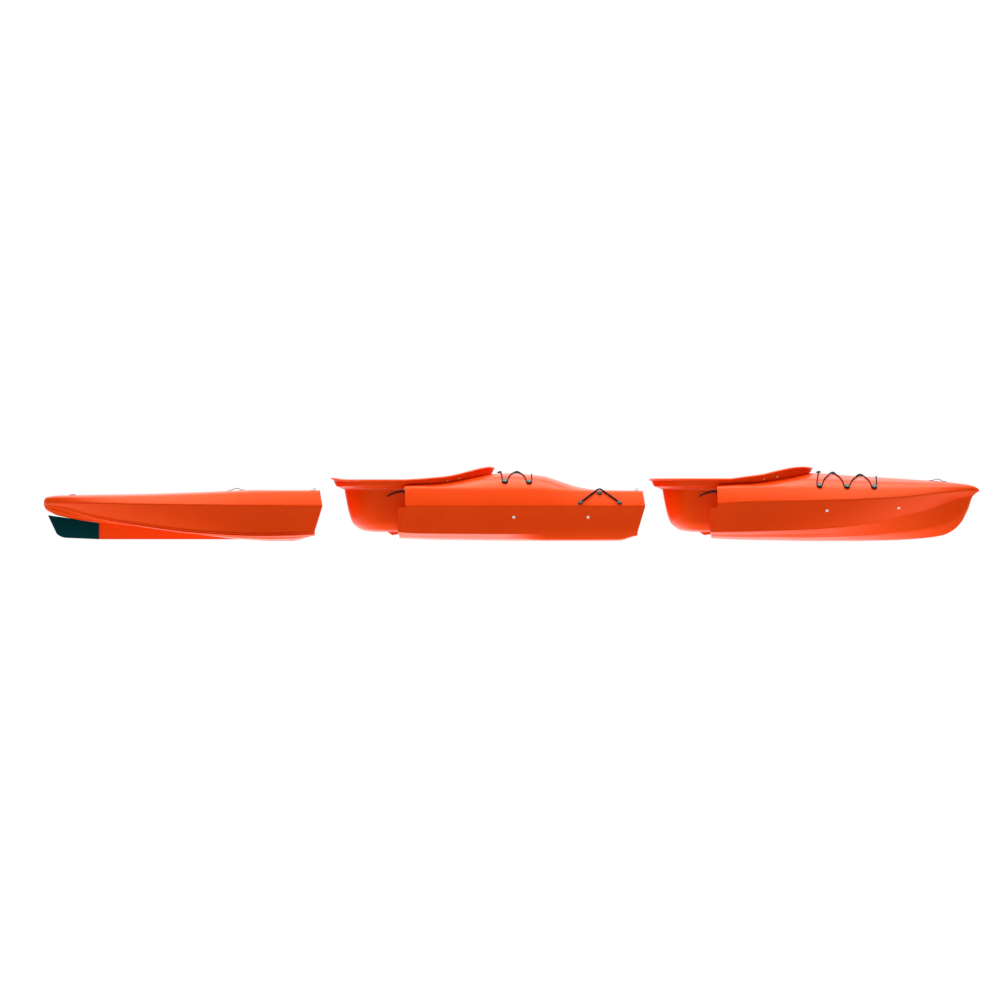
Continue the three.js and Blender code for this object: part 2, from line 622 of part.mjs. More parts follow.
function padSolid(halfLength, halfWidth, thickness, matrix) {
  const rings = padRingShares.map(([width, height]) => {
    const ring = [];
    for (let i = 0; i < 4 * padOutlineSteps; i += 1) {
      const angle = (Math.PI / 2) * (i / padOutlineSteps);
      const round = (value) => Math.sign(value) * Math.abs(value) ** (2 / padSquareness);
      const x = halfLength * width * round(Math.cos(angle));
      const y = i % (2 * padOutlineSteps) === 0 ? 0 : halfWidth * width * round(Math.sin(angle));
      ring.push(new THREE.Vector3(x, -y, height * thickness).applyMatrix4(matrix).toArray());
    }
    return ring;
  });
  return loft(rings);
}

function seatSolid(hull) {
  const clear = tubSolid(hull.tubDepth, -wall - seatClearance, seatFront + overrun, tubTop)
    .translate([0, 0, gap - seatClearance]);
  const slab = boxSolid([-seatBack, -seatHalfWidth, tubFloor], [seatFront, seatHalfWidth, seatTop]);
  const legTop = tubFloor + seatClearance + wall;
  const under = boxSolid([wall + seatClearance, -halfBeam, -overrun], [seatFront, halfBeam, legTop]);
  const floor = boxSolid([-hull.tubDepth, -halfBeam, -overrun],
    [overrun, halfBeam, tubFloor + wall + gap]);
  const leg = boxSolid([legBack, -legHalfWidth, 0], [seatFront, legHalfWidth, legTop + wall])
    .intersect(hullOutside(hull, wall + gap));
  let seat = slab.intersect(clear).subtract(under).subtract(floor).add(leg);
  for (const side of [-1, 1]) {
    const inner = side * (barrelHalfLength + gap);
    const outer = inner + side * earThickness;
    const [low, high] = [Math.min(inner, outer), Math.max(inner, outer)];
    seat = seat.add(cylinderY(earRadius, backrestX, backrestZ, low, high));
    seat = seat.add(boxSolid([backrestX - earRadius, low, seatTop - wall],
      [backrestX + earRadius, high, backrestZ]));
  }
  const hole = cylinderY(pinRadius + gap, backrestX, backrestZ, -halfBeam, halfBeam);
  return seat.subtract(hole);
}

function cushionSolid() {
  const middle = (cushionFront - cushionBack) / 2;
  const place = new THREE.Matrix4().makeTranslation(middle, 0, seatTop + gap);
  return padSolid((cushionFront + cushionBack) / 2, cushionHalfWidth, cushionThickness, place);
}

function backrestSolid() {
  const barrel = cylinderY(barrelRadius, backrestX, backrestZ, -barrelHalfLength, barrelHalfLength);
  const pinLength = barrelHalfLength + earThickness;
  const pins = cylinderY(pinRadius, backrestX, backrestZ, -pinLength, pinLength);
  const lean = THREE.MathUtils.degToRad(backrestLean);
  const place = new THREE.Matrix4().makeTranslation(backrestX, 0, backrestZ)
    .multiply(new THREE.Matrix4().makeRotationY(Math.PI / 2 - lean))
    .multiply(new THREE.Matrix4().makeTranslation(-backrestHeight / 2, 0, -backrestThickness / 2));
  let pad = padSolid(backrestHeight / 2, backrestHalfWidth, backrestThickness, place);
  for (const side of [-1, 1]) {
    const [low, high] = [side * barrelHalfLength, side * halfBeam].sort((a, b) => a - b);
    pad = pad.subtract(cylinderY(earRadius + earClearance, backrestX, backrestZ, low, high));
  }
  return pad.add(barrel).add(pins);
}

// Thigh brace: a curved plate under the coaming, from the opening's edge inwards and down
const braceBack = 150;
const braceFront = 320;
const braceSteps = 6;
const braceWidth = 58;
const braceThickness = 12;
const braceDrop = 26; // of its inner edge
const braceRise = 6; // of its outer edge above the deck's edge
const braceTaperPower = 0.5; // of its width towards its ends
const braceSlopeShares = [[0, 0], [0.35, 0.02], [0.7, 0.3], [1, 1]]; // across it, and of its drop

function thighBraceSolid(hull) {
  const rings = [];
  const noseX = openingReach - hull.tubDepth - openingNose;
  for (let i = 0; i <= braceSteps; i += 1) {
    const x = braceBack + (braceFront - braceBack) * (i / braceSteps);
    const bend = Math.sqrt(1 - Math.max(0, (x - noseX) / openingNose) ** 2);
    const edge = tubHalfWidth * bend - wall - gap;
    const taper = Math.sin((Math.PI * (i + 1)) / (braceSteps + 2)) ** braceTaperPower;
    const width = braceWidth * taper;
    const z = deckZ(hull, x, edge) + braceRise;
    const upper = braceSlopeShares
      .map(([across, drop]) => [x, -(edge - across * width), z - drop * braceDrop]);
    const lower = upper.map(([px, y, height]) => [px, y, height - braceThickness]);
    rings.push([...upper, ...lower.reverse()]);
  }
  return loft(rings).subtract(cockpitSkin(hull));
}

// The deck's edge round the opening, grown by the gap, which a brace's outer edge stops against
function cockpitSkin(hull) {
  const around = [overrun, overrun, overrun];
  const inside = [-wall - gap, -wall - gap, -wall - gap];
  const level = () => tubFloor;
  const high = () => coamingTop + overrun;
  return loft([openingRing(hull.tubDepth, around, level), openingRing(hull.tubDepth, around, high)])
    .subtract(loft([openingRing(hull.tubDepth, inside, level), openingRing(hull.tubDepth, inside, high)]));
}

// Places on a hull: a point between two of its long lines, and the frame that stands on it there
const probe = 4; // step for slopes

function sidePoint(hull, x, z, low, high) {
  const line = facetLinesAt(hull, x);
  const share = (z - line[`${low}Z`]) / (line[`${high}Z`] - line[`${low}Z`]);
  return new THREE.Vector3(x, -(line[`${low}Y`] + share * (line[`${high}Y`] - line[`${low}Y`])), z);
}

function sideFrame(hull, x, z, low, high) {
  const along = sidePoint(hull, x + probe, z, low, high).sub(sidePoint(hull, x - probe, z, low, high));
  const up = sidePoint(hull, x, z + probe, low, high).sub(sidePoint(hull, x, z - probe, low, high));
  return frameAt(sidePoint(hull, x, z, low, high), along.cross(up));
}

function deckPoint(hull, x, y) {
  return new THREE.Vector3(x, y, deckZ(hull, x, y));
}

function deckNormal(hull, x, y) {
  const along = deckPoint(hull, x + probe, y).sub(deckPoint(hull, x - probe, y));
  const across = deckPoint(hull, x, y + probe).sub(deckPoint(hull, x, y - probe));
  return along.cross(across).normalize();
}

// Foot brace: an alloy rail on two spacers inside the hull's side, held by two bolts through the skin,
// and a pedal on a carrier that wraps the rail and slides along it
const boltRadius = 3;
const boltHeadRadius = 8.5;
const boltHeadHeight = 4;
const boltSides = 8;
const boltEdgeShare = 0.33; // of the head's height, that its straight edge takes
const boltTopShare = 0.6; // of the head's radius, that its flat top takes
const boltShankShare = 0.9; // of the head's height, that the shank reaches into it
const railStandoff = 5; // rail to skin
const railHalfHeight = 11;
const railThickness = 12;
const railOverlap = 26; // past each bolt
const spacerRadius = 9;
const carrierHalfLength = 30;
const carrierWall = 7;
const pedalThickness = 9;
const pedalHalfHeight = 46;
const pedalReach = 72;

// Where the two bolts of a rail stand, along the section and above the keel
function boltPlaces(hull) {
  return hull.railBoltShares.map(([along, up]) => [along * hull.length, up * deckHeight]);
}

function railFrame(hull) {
  const [rear, front] = boltPlaces(hull).map(([x, z]) => sidePoint(hull, x, z, 'chine', 'knuckle'));
  const along = front.clone().sub(rear).normalize();
  const outward = new THREE.Vector3();
  for (const [x, z] of boltPlaces(hull)) {
    outward.add(new THREE.Vector3().setFromMatrixColumn(sideFrame(hull, x, z, 'chine', 'knuckle'), 2));
  }
  outward.addScaledVector(along, -outward.dot(along)).normalize();
  const middle = rear.clone().add(front).multiplyScalar(0.5);
  const frame = new THREE.Matrix4().makeBasis(along, outward.clone().cross(along), outward);
  return { frame: frame.setPosition(middle), halfLength: rear.distanceTo(front) / 2 };
}

function boxIn(frame, low, high) {
  const size = high.map((value, i) => value - low[i]);
  const middle = high.map((value, i) => (value + low[i]) / 2);
  const place = frame.clone().multiply(new THREE.Matrix4().makeTranslation(...middle));
  return solid(new THREE.BoxGeometry(...size), place);
}

function boltHole(frame) {
  const depth = wall + railStandoff + railThickness - 2 * gap;
  const radius = boltRadius + gap;
  return turned([[0, -depth], [radius, -depth], [radius, overrun], [0, overrun]], frame, boltSides);
}

function boltSolid(hull, frame) {
  const depth = wall + railStandoff + railThickness - 4 * gap;
  const shankTop = boltShankShare * boltHeadHeight;
  const shank = turned([[0, -depth], [boltRadius, -depth], [boltRadius, shankTop], [0, shankTop]],
    frame, boltSides);
  const head = turned([[0, -gap], [boltHeadRadius, -gap], [boltHeadRadius, boltHeadHeight * boltEdgeShare],
    [boltHeadRadius * boltTopShare, boltHeadHeight], [0, boltHeadHeight]], frame, roundSides);
  return head.subtract(hull.grown).add(shank);
}

function railSolid(hull) {
  const { frame, halfLength } = railFrame(hull);
  const top = -wall - railStandoff;
  const reach = halfLength + railOverlap;
  let rail = boxIn(frame, [-reach, -railHalfHeight, top - railThickness], [reach, railHalfHeight, top]);
  for (const [x, z] of boltPlaces(hull)) {
    const place = sideFrame(hull, x, z, 'chine', 'knuckle');
    const spacer = turned([[0, top - railThickness / 2], [spacerRadius, top - railThickness / 2],
      [spacerRadius, -wall - gap], [0, -wall - gap]], place, roundSides);
    rail = rail.add(spacer).subtract(boltHole(place));
  }
  return rail;
}

function pedalSolid(hull) {
  const { frame } = railFrame(hull);
  const railTop = -wall - railStandoff;
  const railBottom = railTop - railThickness;
  const inner = railHalfHeight + gap;
  const block = boxIn(frame,
    [-carrierHalfLength, -inner - carrierWall, railBottom - carrierWall],
    [carrierHalfLength, inner + carrierWall, railTop - gap]);
  const channel = boxIn(frame, [-overrun, -inner, railBottom - gap], [overrun, inner, 0]);
  const plate = boxIn(frame,
    [-carrierHalfLength, -pedalHalfHeight, railBottom - pedalReach],
    [-carrierHalfLength + pedalThickness, pedalHalfHeight, railBottom - carrierWall / 2]);
  return block.subtract(channel).add(plate);
}

// Deck button: a round post with a wide cap, screwed to the deck, that a cord runs round
const buttonPostRadius = 8;
const buttonCapRadius = 13.5;
const buttonCapThickness = 3;
const buttonCapRound = 1;
const buttonSeat = 3; // of the post below the deck's surface before it is trimmed
const buttonSides = 10;
const buttonRoundShares = [0.95, 0.5]; // of the cap's radius, where its edge and its top begin
const bungeeDiameter = 6.5;
const bungeeSides = 8;
const bungeeLift = 0.8; // above the deck
const bungeeTurn = 48; // degrees of a bend to one step
const bungeeSlack = 1.8; // between a post and the middle of a bend round it
const bungeeRampShare = 0.5; // of a leg, over which it climbs the leg that it crosses
const buttonClearance = 1.2; // from the cord to the cap over it
const buttonHeight = bungeeLift + bungeeDiameter + buttonClearance + buttonCapThickness;
const midButtonReach = [53, 179]; // from the coaming's front to each row
const bowButtonReach = [33, 175, 317];
const midKnotReach = 25; // from the first row back to the knot
const knotRadius = 8;
const knotTuck = 1; // of the cord's ends into the knot

function buttonSolid(hull, frame) {
  const capBottom = buttonHeight - buttonCapThickness;
  const [edge, top] = buttonRoundShares.map((share) => share * buttonCapRadius);
  const profile = [[0, -buttonSeat], [buttonPostRadius, -buttonSeat], [buttonPostRadius, capBottom],
    [buttonCapRadius, capBottom], [edge, buttonHeight - buttonCapRound], [top, buttonHeight],
    [0, buttonHeight]];
  return turned(profile, frame, buttonSides).subtract(hull.grown);
}

// Where the deck buttons of a hull stand: rows in front of the coaming, one button on each side
function buttonPlaces(hull) {
  return hull.buttonReach.map((reach) => {
    const x = openingReach - hull.tubDepth + noseOverhang + reach;
    return [x, hull.buttonSpanShare * linesAt(hull, x / hull.length).shoulderY];
  });
}

// Plan of a cord that is laced round posts: straight legs that touch a circle about each post, and
// the bends between them. Each stop is a place and the circle's radius, which is nought at an end.
function lacing(stops) {
  const senses = stops.map(({ at }, i) => {
    if (i === 0 || i === stops.length - 1) return 1;
    return Math.sign(at.clone().sub(stops[i - 1].at).cross(stops[i + 1].at.clone().sub(at)));
  });
  const legs = [];
  for (let i = 0; i + 1 < stops.length; i += 1) {
    const [from, to] = [stops[i], stops[i + 1]];
    const span = to.at.clone().sub(from.at);
    const side = senses[i + 1] * to.radius - senses[i] * from.radius;
    const angle = span.angle() - Math.asin(side / span.length());
    const left = new THREE.Vector2(-Math.sin(angle), Math.cos(angle));
    legs.push({
      from: from.at.clone().addScaledVector(left, -senses[i] * from.radius),
      to: to.at.clone().addScaledVector(left, -senses[i + 1] * to.radius),
      forward: to.at.x > from.at.x,
    });
  }
  const bends = stops.slice(1, -1).map(({ at, radius }, i) => {
    const start = legs[i].to.clone().sub(at).angle();
    const end = legs[i + 1].from.clone().sub(at).angle();
    const sense = senses[i + 1];
    const sweep = THREE.MathUtils.euclideanModulo(sense * (end - start), 2 * Math.PI);
    const steps = Math.ceil(THREE.MathUtils.radToDeg(sweep) / bungeeTurn);
    const angles = Array.from({ length: steps + 1 }, (unused, k) => start + sense * sweep * (k / steps));
    return { at, offsets: angles.map((angle) => [radius * Math.cos(angle), radius * Math.sin(angle)]) };
  });
  return { legs, bends };
}

// Shares of a leg over the deck at which it passes the deck's long ridges
function ridgeShares(hull, from, to) {
  const shares = [];
  for (const [step] of [...hull.crownShares, [1, 1]]) {
    for (const side of step < 1 ? [-1, 1] : [1]) {
      const off = ({ x, y }) => y - side * (1 - step) * facetLinesAt(hull, x).shoulderY;
      const [start, end] = [off(from), off(to)];
      if (start * end < 0) shares.push(start / (start - end));
    }
  }
  return shares.sort((a, b) => a - b);
}

// The bungee: one cord that runs round the buttons in a given order, over the deck, and is knotted
// on the centreline. Where two legs cross, the one that runs forward rises over the other.
function bungeeSolid(hull) {
  const places = buttonPlaces(hull);
  const radius = buttonPostRadius + bungeeSlack + bungeeDiameter / 2;
  const lift = bungeeDiameter / 2 + bungeeLift;
  const onDeck = ({ x, y }, [along, across], height) => new THREE.Vector3(along, across, height)
    .applyMatrix4(frameAt(deckPoint(hull, x, y), deckNormal(hull, x, y)));
  const knotAt = new THREE.Vector2(places[0][0] - hull.knotReach, 0);
  const posts = hull.bungeeRoute.map(([row, side]) => (
    { at: new THREE.Vector2(places[row][0], side * places[row][1]), radius }));
  const { legs, bends } = lacing([{ at: knotAt, radius: 0 }, ...posts, { at: knotAt, radius: 0 }]);
  const points = [];
  legs.forEach((leg, i) => {
    const crosses = leg.forward && i > 0 && i + 1 < legs.length && leg.from.y * leg.to.y < 0;
    for (const share of ridgeShares(hull, leg.from, leg.to)) {
      const near = 1 - Math.min(1, Math.abs(2 * share - 1) / bungeeRampShare);
      const over = crosses ? near * (bungeeDiameter + bungeeLift) : 0;
      points.push(onDeck(leg.from.clone().lerp(leg.to, share), [0, 0], lift + over));
    }
    if (i < bends.length) points.push(...bends[i].offsets.map((offset) => onDeck(bends[i].at, offset, lift)));
  });
  const knot = new THREE.SphereGeometry(knotRadius, roundSides / 2, roundSides / 2);
  const place = onDeck(knotAt, [0, 0], knotRadius + bungeeLift);
  const tucked = ({ y }) => place.clone().add(new THREE.Vector3(0, Math.sign(y) * knotTuck, 0));
  points.unshift(tucked(points[0]));
  points.push(tucked(points[points.length - 1]));
  return cord(points, bungeeDiameter, bungeeSides)
    .add(solid(knot, new THREE.Matrix4().setPosition(place))).subtract(hull.grown);
}

// Carry handle: a flat strap that arches between two screwed feet on the deck's centreline
const handleLength = 88;
const handleThickness = 3.5;
const handleRise = 9;
const handleHalfWidth = 13;
const handleFootShare = 0.17;
const handleSteps = 12;
const sternHandleSpacing = 64; // from the socket's wall to the handle
const sternHandleX = sternLength - socketDepth - socketClearance - wall - sternHandleSpacing
  - handleLength / 2; // its middle, from the nose
const bowHandleShare = 0.842; // of the bow section's length

function handleSolid(hull, middle) {
  const upper = [];
  const lower = [];
  for (let i = 0; i <= handleSteps; i += 1) {
    const s = i / handleSteps;
    const x = middle + (s - 0.5) * handleLength;
    const arch = Math.max(0, Math.sin((Math.PI * (s - handleFootShare)) / (1 - 2 * handleFootShare)));
    const inside = s > handleFootShare && s < 1 - handleFootShare;
    const z = deckZ(hull, x, 0) + (inside ? handleRise * arch : 0);
    upper.push([x, z + handleThickness]);
    lower.push([x, z]);
  }
  return sideExtrusion([...upper, ...lower.reverse()], -handleHalfWidth, handleHalfWidth)
    .subtract(hull.grown);
}

// Deck hook beside the socket, which the joining strap of the next section pulls on
const hookSetback = 47; // behind the knuckle of the front end
const hookSpanShare = 0.95; // of the shoulder
const hookLength = 24;
const hookHeight = 14;
const hookWall = 5;
const hookHalfWidth = 5;

function hookSolid(hull) {
  const x = hull.length - hookSetback;
  const y = hookSpanShare * linesAt(hull, 1).shoulderY;
  const z = deckZ(hull, x, y);
  const outline = [[-hookLength / 2, -hookWall], [hookLength / 2, -hookWall],
    [hookLength / 2, hookHeight - hookWall / 2], [hookLength / 2 - hookWall / 2, hookHeight],
    [-hookWall, hookHeight], [-hookWall, hookHeight - hookWall / 2],
    [hookLength / 2 - hookWall, hookHeight - hookWall], [hookLength / 2 - hookWall, hookWall],
    [-hookLength / 2, hookWall]];
  return sideExtrusion(outline.map(([px, pz]) => [x + px, z + pz]), -y - hookHalfWidth, -y + hookHalfWidth)
    .subtract(hull.grown);
}

// Joining strap: a short rubber strap that hangs from the hull's end wall beside the tub
const strapThickness = 4;
const strapSpacing = 3; // off the tub's side
const strapHeight = 9;
const strapRootDrop = 8; // below the tub's top
const strapRootZ = tubTop - strapRootDrop;
const strapLength = 96;
const strapDrop = 27;
const strapFoot = 22;
const strapFootThickness = 7;
const strapRoot = 15; // in front of the joint, before the hull's own surface trims it
const strapRouteShares = [[0, 0], [0.25, 0.03], [0.5, 0.2], [0.75, 0.5], [1, 1]];

function strapSolid(hull) {
  const yHigh = -tubHalfWidth - strapSpacing;
  const yLow = yHigh - strapThickness;
  const upper = strapRouteShares.map(([x, z]) => [-x * strapLength, strapRootZ - z * strapDrop]);
  const lower = upper.map(([x, z]) => [x, z - strapHeight]);
  const strap = sideExtrusion([[strapRoot, strapRootZ], ...upper, ...lower.reverse(),
    [strapRoot, strapRootZ - strapHeight]], yLow, yHigh);
  const foot = boxSolid([-strapFootThickness, yLow, strapRootZ - strapFoot],
    [strapRoot, yHigh, strapRootZ]);
  return strap.add(foot).subtract(hull.grown);
}

// Side paddle keeper: a cord from one pad eye up over a hook and down to the other
const keeperPadX = [909, 1112]; // along the middle section
const keeperPadShare = 0.748; // heights, of the deck's
const keeperHookShare = 0.94;
const keeperPadZ = keeperPadShare * deckHeight;
const keeperHookX = 1008;
const keeperHookZ = keeperHookShare * deckHeight;
const keeperDiameter = 8;
const keeperPadRadius = 12;
const keeperPadHeight = 9;
const keeperEdgeShare = 0.6; // of the pad's height, where its round begins
const keeperTopShare = 0.7; // of the pad's radius, that its flat top takes
const keeperLegShares = [0, 0.3, 0.6, 0.85];

function keeperButton(hull, x, z) {
  const frame = sideFrame(hull, x, z, 'knuckle', 'shoulder');
  const profile = [[0, -buttonSeat], [keeperPadRadius, -buttonSeat],
    [keeperPadRadius, keeperPadHeight * keeperEdgeShare],
    [keeperPadRadius * keeperTopShare, keeperPadHeight], [0, keeperPadHeight]];
  return turned(profile, frame, buttonSides).subtract(hull.grown);
}

function keeperCord(hull) {
  const lift = keeperDiameter / 2 + bungeeLift;
  const onSide = ({ x, y }, [along, up]) => new THREE.Vector3(along, up, lift)
    .applyMatrix4(sideFrame(hull, x, y, 'knuckle', 'shoulder'));
  const radius = keeperPadRadius + bungeeSlack + keeperDiameter / 2;
  const eyes = keeperPadX.map((x) => new THREE.Vector2(x, keeperPadZ));
  const apex = { at: new THREE.Vector2(keeperHookX, keeperHookZ), radius };
  const { legs, bends } = lacing([{ at: eyes[0], radius: 0 }, apex, { at: eyes[1], radius: 0 }]);
  const clear = (leg) => (keeperPadRadius + buttonClearance) / leg.from.distanceTo(leg.to);
  const start = legs[0].from.clone().lerp(legs[0].to, clear(legs[0]));
  const end = legs[1].to.clone().lerp(legs[1].from, clear(legs[1]));
  const run = (from, to) => keeperLegShares.map((share) => onSide(from.clone().lerp(to, share), [0, 0]));
  const bend = bends[0].offsets.map((offset) => onSide(bends[0].at, offset));
  const points = [...run(start, legs[0].to), ...bend, ...run(end, legs[1].from).reverse()];
  return cord(points, keeperDiameter, bungeeSides).subtract(hull.grown);
}

// Skeg under the stern: a thick rubber block behind the hull's own centreline fin
const finHalfThickness = 12;
const finBottom = 9;
const finBack = 287; // from the stern's nose
const finFront = 1030;
const finTopBack = 104;
const finTopFront = 20;
const skegHalfThickness = 17;
const skegBack = 21;
const skegHeel = 99;
const skegBackTop = 134;
const skegFrontTop = 97;
const skegHeelBottom = 17;
const skegKnee = [68, 34];
const drainX = 150;
const drainRadius = 12;
const drainCapRadius = 17;
const drainCapHeight = 4;
const drainDepth = 16;
const drainCut = 30; // depth of its hole
const drainEdgeShare = 0.6; // of the cap's height, where its round begins
const drainTopShare = 0.85; // of the cap's radius, that its flat top takes

function finSolid() {
  return sideExtrusion([[finBack, finBottom], [finFront, finBottom], [finFront, finTopFront],
    [finBack, finTopBack]], -finHalfThickness, finHalfThickness);
}

function skegSolid(hull) {
  const outline = [[skegBack, skegBackTop], skegKnee, [skegHeel, skegHeelBottom],
    [finBack - gap, finBottom], [finBack - gap, skegFrontTop]];
  return sideExtrusion(outline, -skegHalfThickness, skegHalfThickness).subtract(hull.grown);
}

function drainHole(hull, radius) {
  const frame = frameAt(deckPoint(hull, drainX, 0), deckNormal(hull, drainX, 0));
  return turned([[0, -drainCut], [radius, -drainCut], [radius, overrun], [0, overrun]], frame, roundSides);
}

function drainPlug(hull) {
  const frame = frameAt(deckPoint(hull, drainX, 0), deckNormal(hull, drainX, 0));
  const shank = turned([[0, -drainDepth], [drainRadius - gap, -drainDepth],
    [drainRadius - gap, drainCapHeight / 2], [0, drainCapHeight / 2]], frame, roundSides);
  const cap = turned([[0, -gap], [drainCapRadius, -gap], [drainCapRadius, drainCapHeight * drainEdgeShare],
    [drainCapRadius * drainTopShare, drainCapHeight], [0, drainCapHeight]], frame, roundSides);
  return cap.subtract(hull.grown).add(shank);
}

// The three hulls: their lines, what their ends are, and where their fittings stand
const hulls = {
  stern: {
    length: sternLength, lineShares: sternLineShares, stationShares: sternStationShares,
    hollowShares: [0.05, 1], frontEnd: true, rearEnd: false, crownShares: endCrownShares,
  },
  mid: {
    length: midLength, lineShares: midLineShares, stationShares: midStationShares,
    hollowShares: [0, 1], frontEnd: true, rearEnd: true, tubDepth: midTubDepth,
    crownShares: midCrownShares,
    coamingTopShares: [[0, 0.86], [0.09, 0.828], [0.44, 0.828], [0.513, 0.835], [0.629, 0.855],
      [0.709, 0.873], [0.785, 0.907], [0.864, 0.953], [0.923, 0.984], [0.973, 1], [1, 0.992]],
    railBoltShares: [[0.4519, 0.47], [0.7616, 0.47]],
    buttonReach: midButtonReach, buttonSpanShare: 0.88,
    bungeeRoute: [[0, -1], [1, 1], [1, -1], [0, 1]],
    knotReach: midKnotReach,
  },
  bow: {
    length: bowLength, lineShares: bowLineShares, stationShares: bowStationShares,
    hollowShares: [0, 0.9], frontEnd: false, rearEnd: true, tubDepth: bowTubDepth,
    crownShares: endCrownShares,
    coamingTopShares: [[0, 0.842], [0.5, 0.842], [0.527, 0.85], [0.594, 0.87], [0.693, 0.9],
      [0.79, 0.951], [0.889, 0.993], [0.94, 1], [1, 0.99]],
    railBoltShares: [[0.4166, 0.598], [0.6914, 0.6466]],
    buttonReach: bowButtonReach, buttonSpanShare: 0.965,
    bungeeRoute: [[0, -1], [1, 1], [2, -1], [2, 1], [1, -1], [0, 1]],
    knotReach: 0,
  },
};
for (const hull of Object.values(hulls)) hull.grown = hullOutside(hull, -gap);

const kayak = new THREE.Group();
const sternSection = new THREE.Group();
const midSection = new THREE.Group();
const bowSection = new THREE.Group();
sternSection.position.x = sternX;
midSection.position.x = midX;
bowSection.position.x = bowX;
kayak.add(sternSection, midSection, bowSection);

// A piece to starboard and its mirror image to port
function addPair(group, name, body, look) {
  addPiece(group, `${name}_right`, body, look);
  addPiece(group, `${name}_left`, toPort(body), look);
}

// Stern section
const sternHollow = hullHollow(hulls.stern).subtract(frontEndWalls(hulls.stern));
const sternBody = hullOutside(hulls.stern).subtract(sternHollow).add(finSolid());
addPiece(sternSection, 'stern_hull',
  cutFrontEnd(sternBody, hulls.stern).subtract(drainHole(hulls.stern, drainRadius)), orange);
addPiece(sternSection, 'skeg', skegSolid(hulls.stern), darkRubber);
addPiece(sternSection, 'stern_handle', handleSolid(hulls.stern, sternHandleX), blackPlastic);
addPiece(sternSection, 'drain_plug', drainPlug(hulls.stern), blackPlastic);
addPair(sternSection, 'stern_hook', hookSolid(hulls.stern), steel);

// Fittings that the middle section and the bow section share
function addCockpit(group, prefix, hull) {
  addPiece(group, `${prefix}_coaming`, coamingSolid(hull), orange);
  addPiece(group, `${prefix}_seat`, seatSolid(hull), blackPlastic);
  addPiece(group, `${prefix}_seat_cushion`, cushionSolid(), blackFoam);
  addPiece(group, `${prefix}_backrest`, backrestSolid(), blackFoam);
  addPair(group, `${prefix}_thigh_brace`, thighBraceSolid(hull), blackPlastic);
  addPair(group, `${prefix}_foot_rail`, railSolid(hull), railAlloy);
  addPair(group, `${prefix}_foot_pedal`, pedalSolid(hull), blackPlastic);
  ['rear', 'front'].forEach((end, i) => {
    const [x, z] = boltPlaces(hull)[i];
    const frame = sideFrame(hull, x, z, 'chine', 'knuckle');
    addPair(group, `${prefix}_rail_bolt_${end}`, boltSolid(hull, frame), steel);
  });
  buttonPlaces(hull).forEach(([x, y], i) => {
    const frame = frameAt(deckPoint(hull, x, -y), deckNormal(hull, x, -y));
    addPair(group, `${prefix}_deck_button_${i + 1}`, buttonSolid(hull, frame), blackPlastic);
  });
  addPiece(group, `${prefix}_bungee`, bungeeSolid(hull), blackCord);
  addPair(group, `${prefix}_joining_strap`, strapSolid(hull), blackPlastic);
}

// Bolt holes through both sides of a shell
function drillBolts(body, hull) {
  let drilled = body;
  for (const [x, z] of boltPlaces(hull)) {
    const hole = boltHole(sideFrame(hull, x, z, 'chine', 'knuckle'));
    drilled = drilled.subtract(hole).subtract(toPort(hole));
  }
  return drilled;
}

// Middle section
const midShell = hullOutside(hulls.mid).add(rearEndSolid(hulls.mid));
const midHollow = hullHollow(hulls.mid).subtract(frontEndWalls(hulls.mid)).add(cockpitHollow(hulls.mid));
const midBody = cutFrontEnd(midShell.subtract(midHollow), hulls.mid);
addPiece(midSection, 'mid_hull', drillBolts(midBody, hulls.mid), orange);
addCockpit(midSection, 'mid', hulls.mid);
addPair(midSection, 'mid_hook', hookSolid(hulls.mid), steel);
addPiece(midSection, 'keeper_cord', keeperCord(hulls.mid), blackCord);
keeperPadX.forEach((x, i) => {
  const pad = keeperButton(hulls.mid, x, keeperPadZ);
  addPiece(midSection, `keeper_pad_${['rear', 'front'][i]}`, pad, blackPlastic);
});
addPiece(midSection, 'keeper_hook', keeperButton(hulls.mid, keeperHookX, keeperHookZ), blackPlastic);

// Bow section
const bowShell = hullOutside(hulls.bow).add(rearEndSolid(hulls.bow));
const bowHollow = hullHollow(hulls.bow).add(cockpitHollow(hulls.bow));
addPiece(bowSection, 'bow_hull', drillBolts(bowShell.subtract(bowHollow), hulls.bow), orange);
addCockpit(bowSection, 'bow', hulls.bow);
addPiece(bowSection, 'bow_handle', handleSolid(hulls.bow, bowHandleShare * bowLength), blackPlastic);

export default kayak;
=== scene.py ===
"""Looks of a three-section sit-inside kayak of orange moulded plastic, laid out in line with its sections apart.
Metres, +X to the bow, +Y to port, +Z up."""
import json
import math

import bpy
import numpy as np
from mathutils import Matrix, Vector

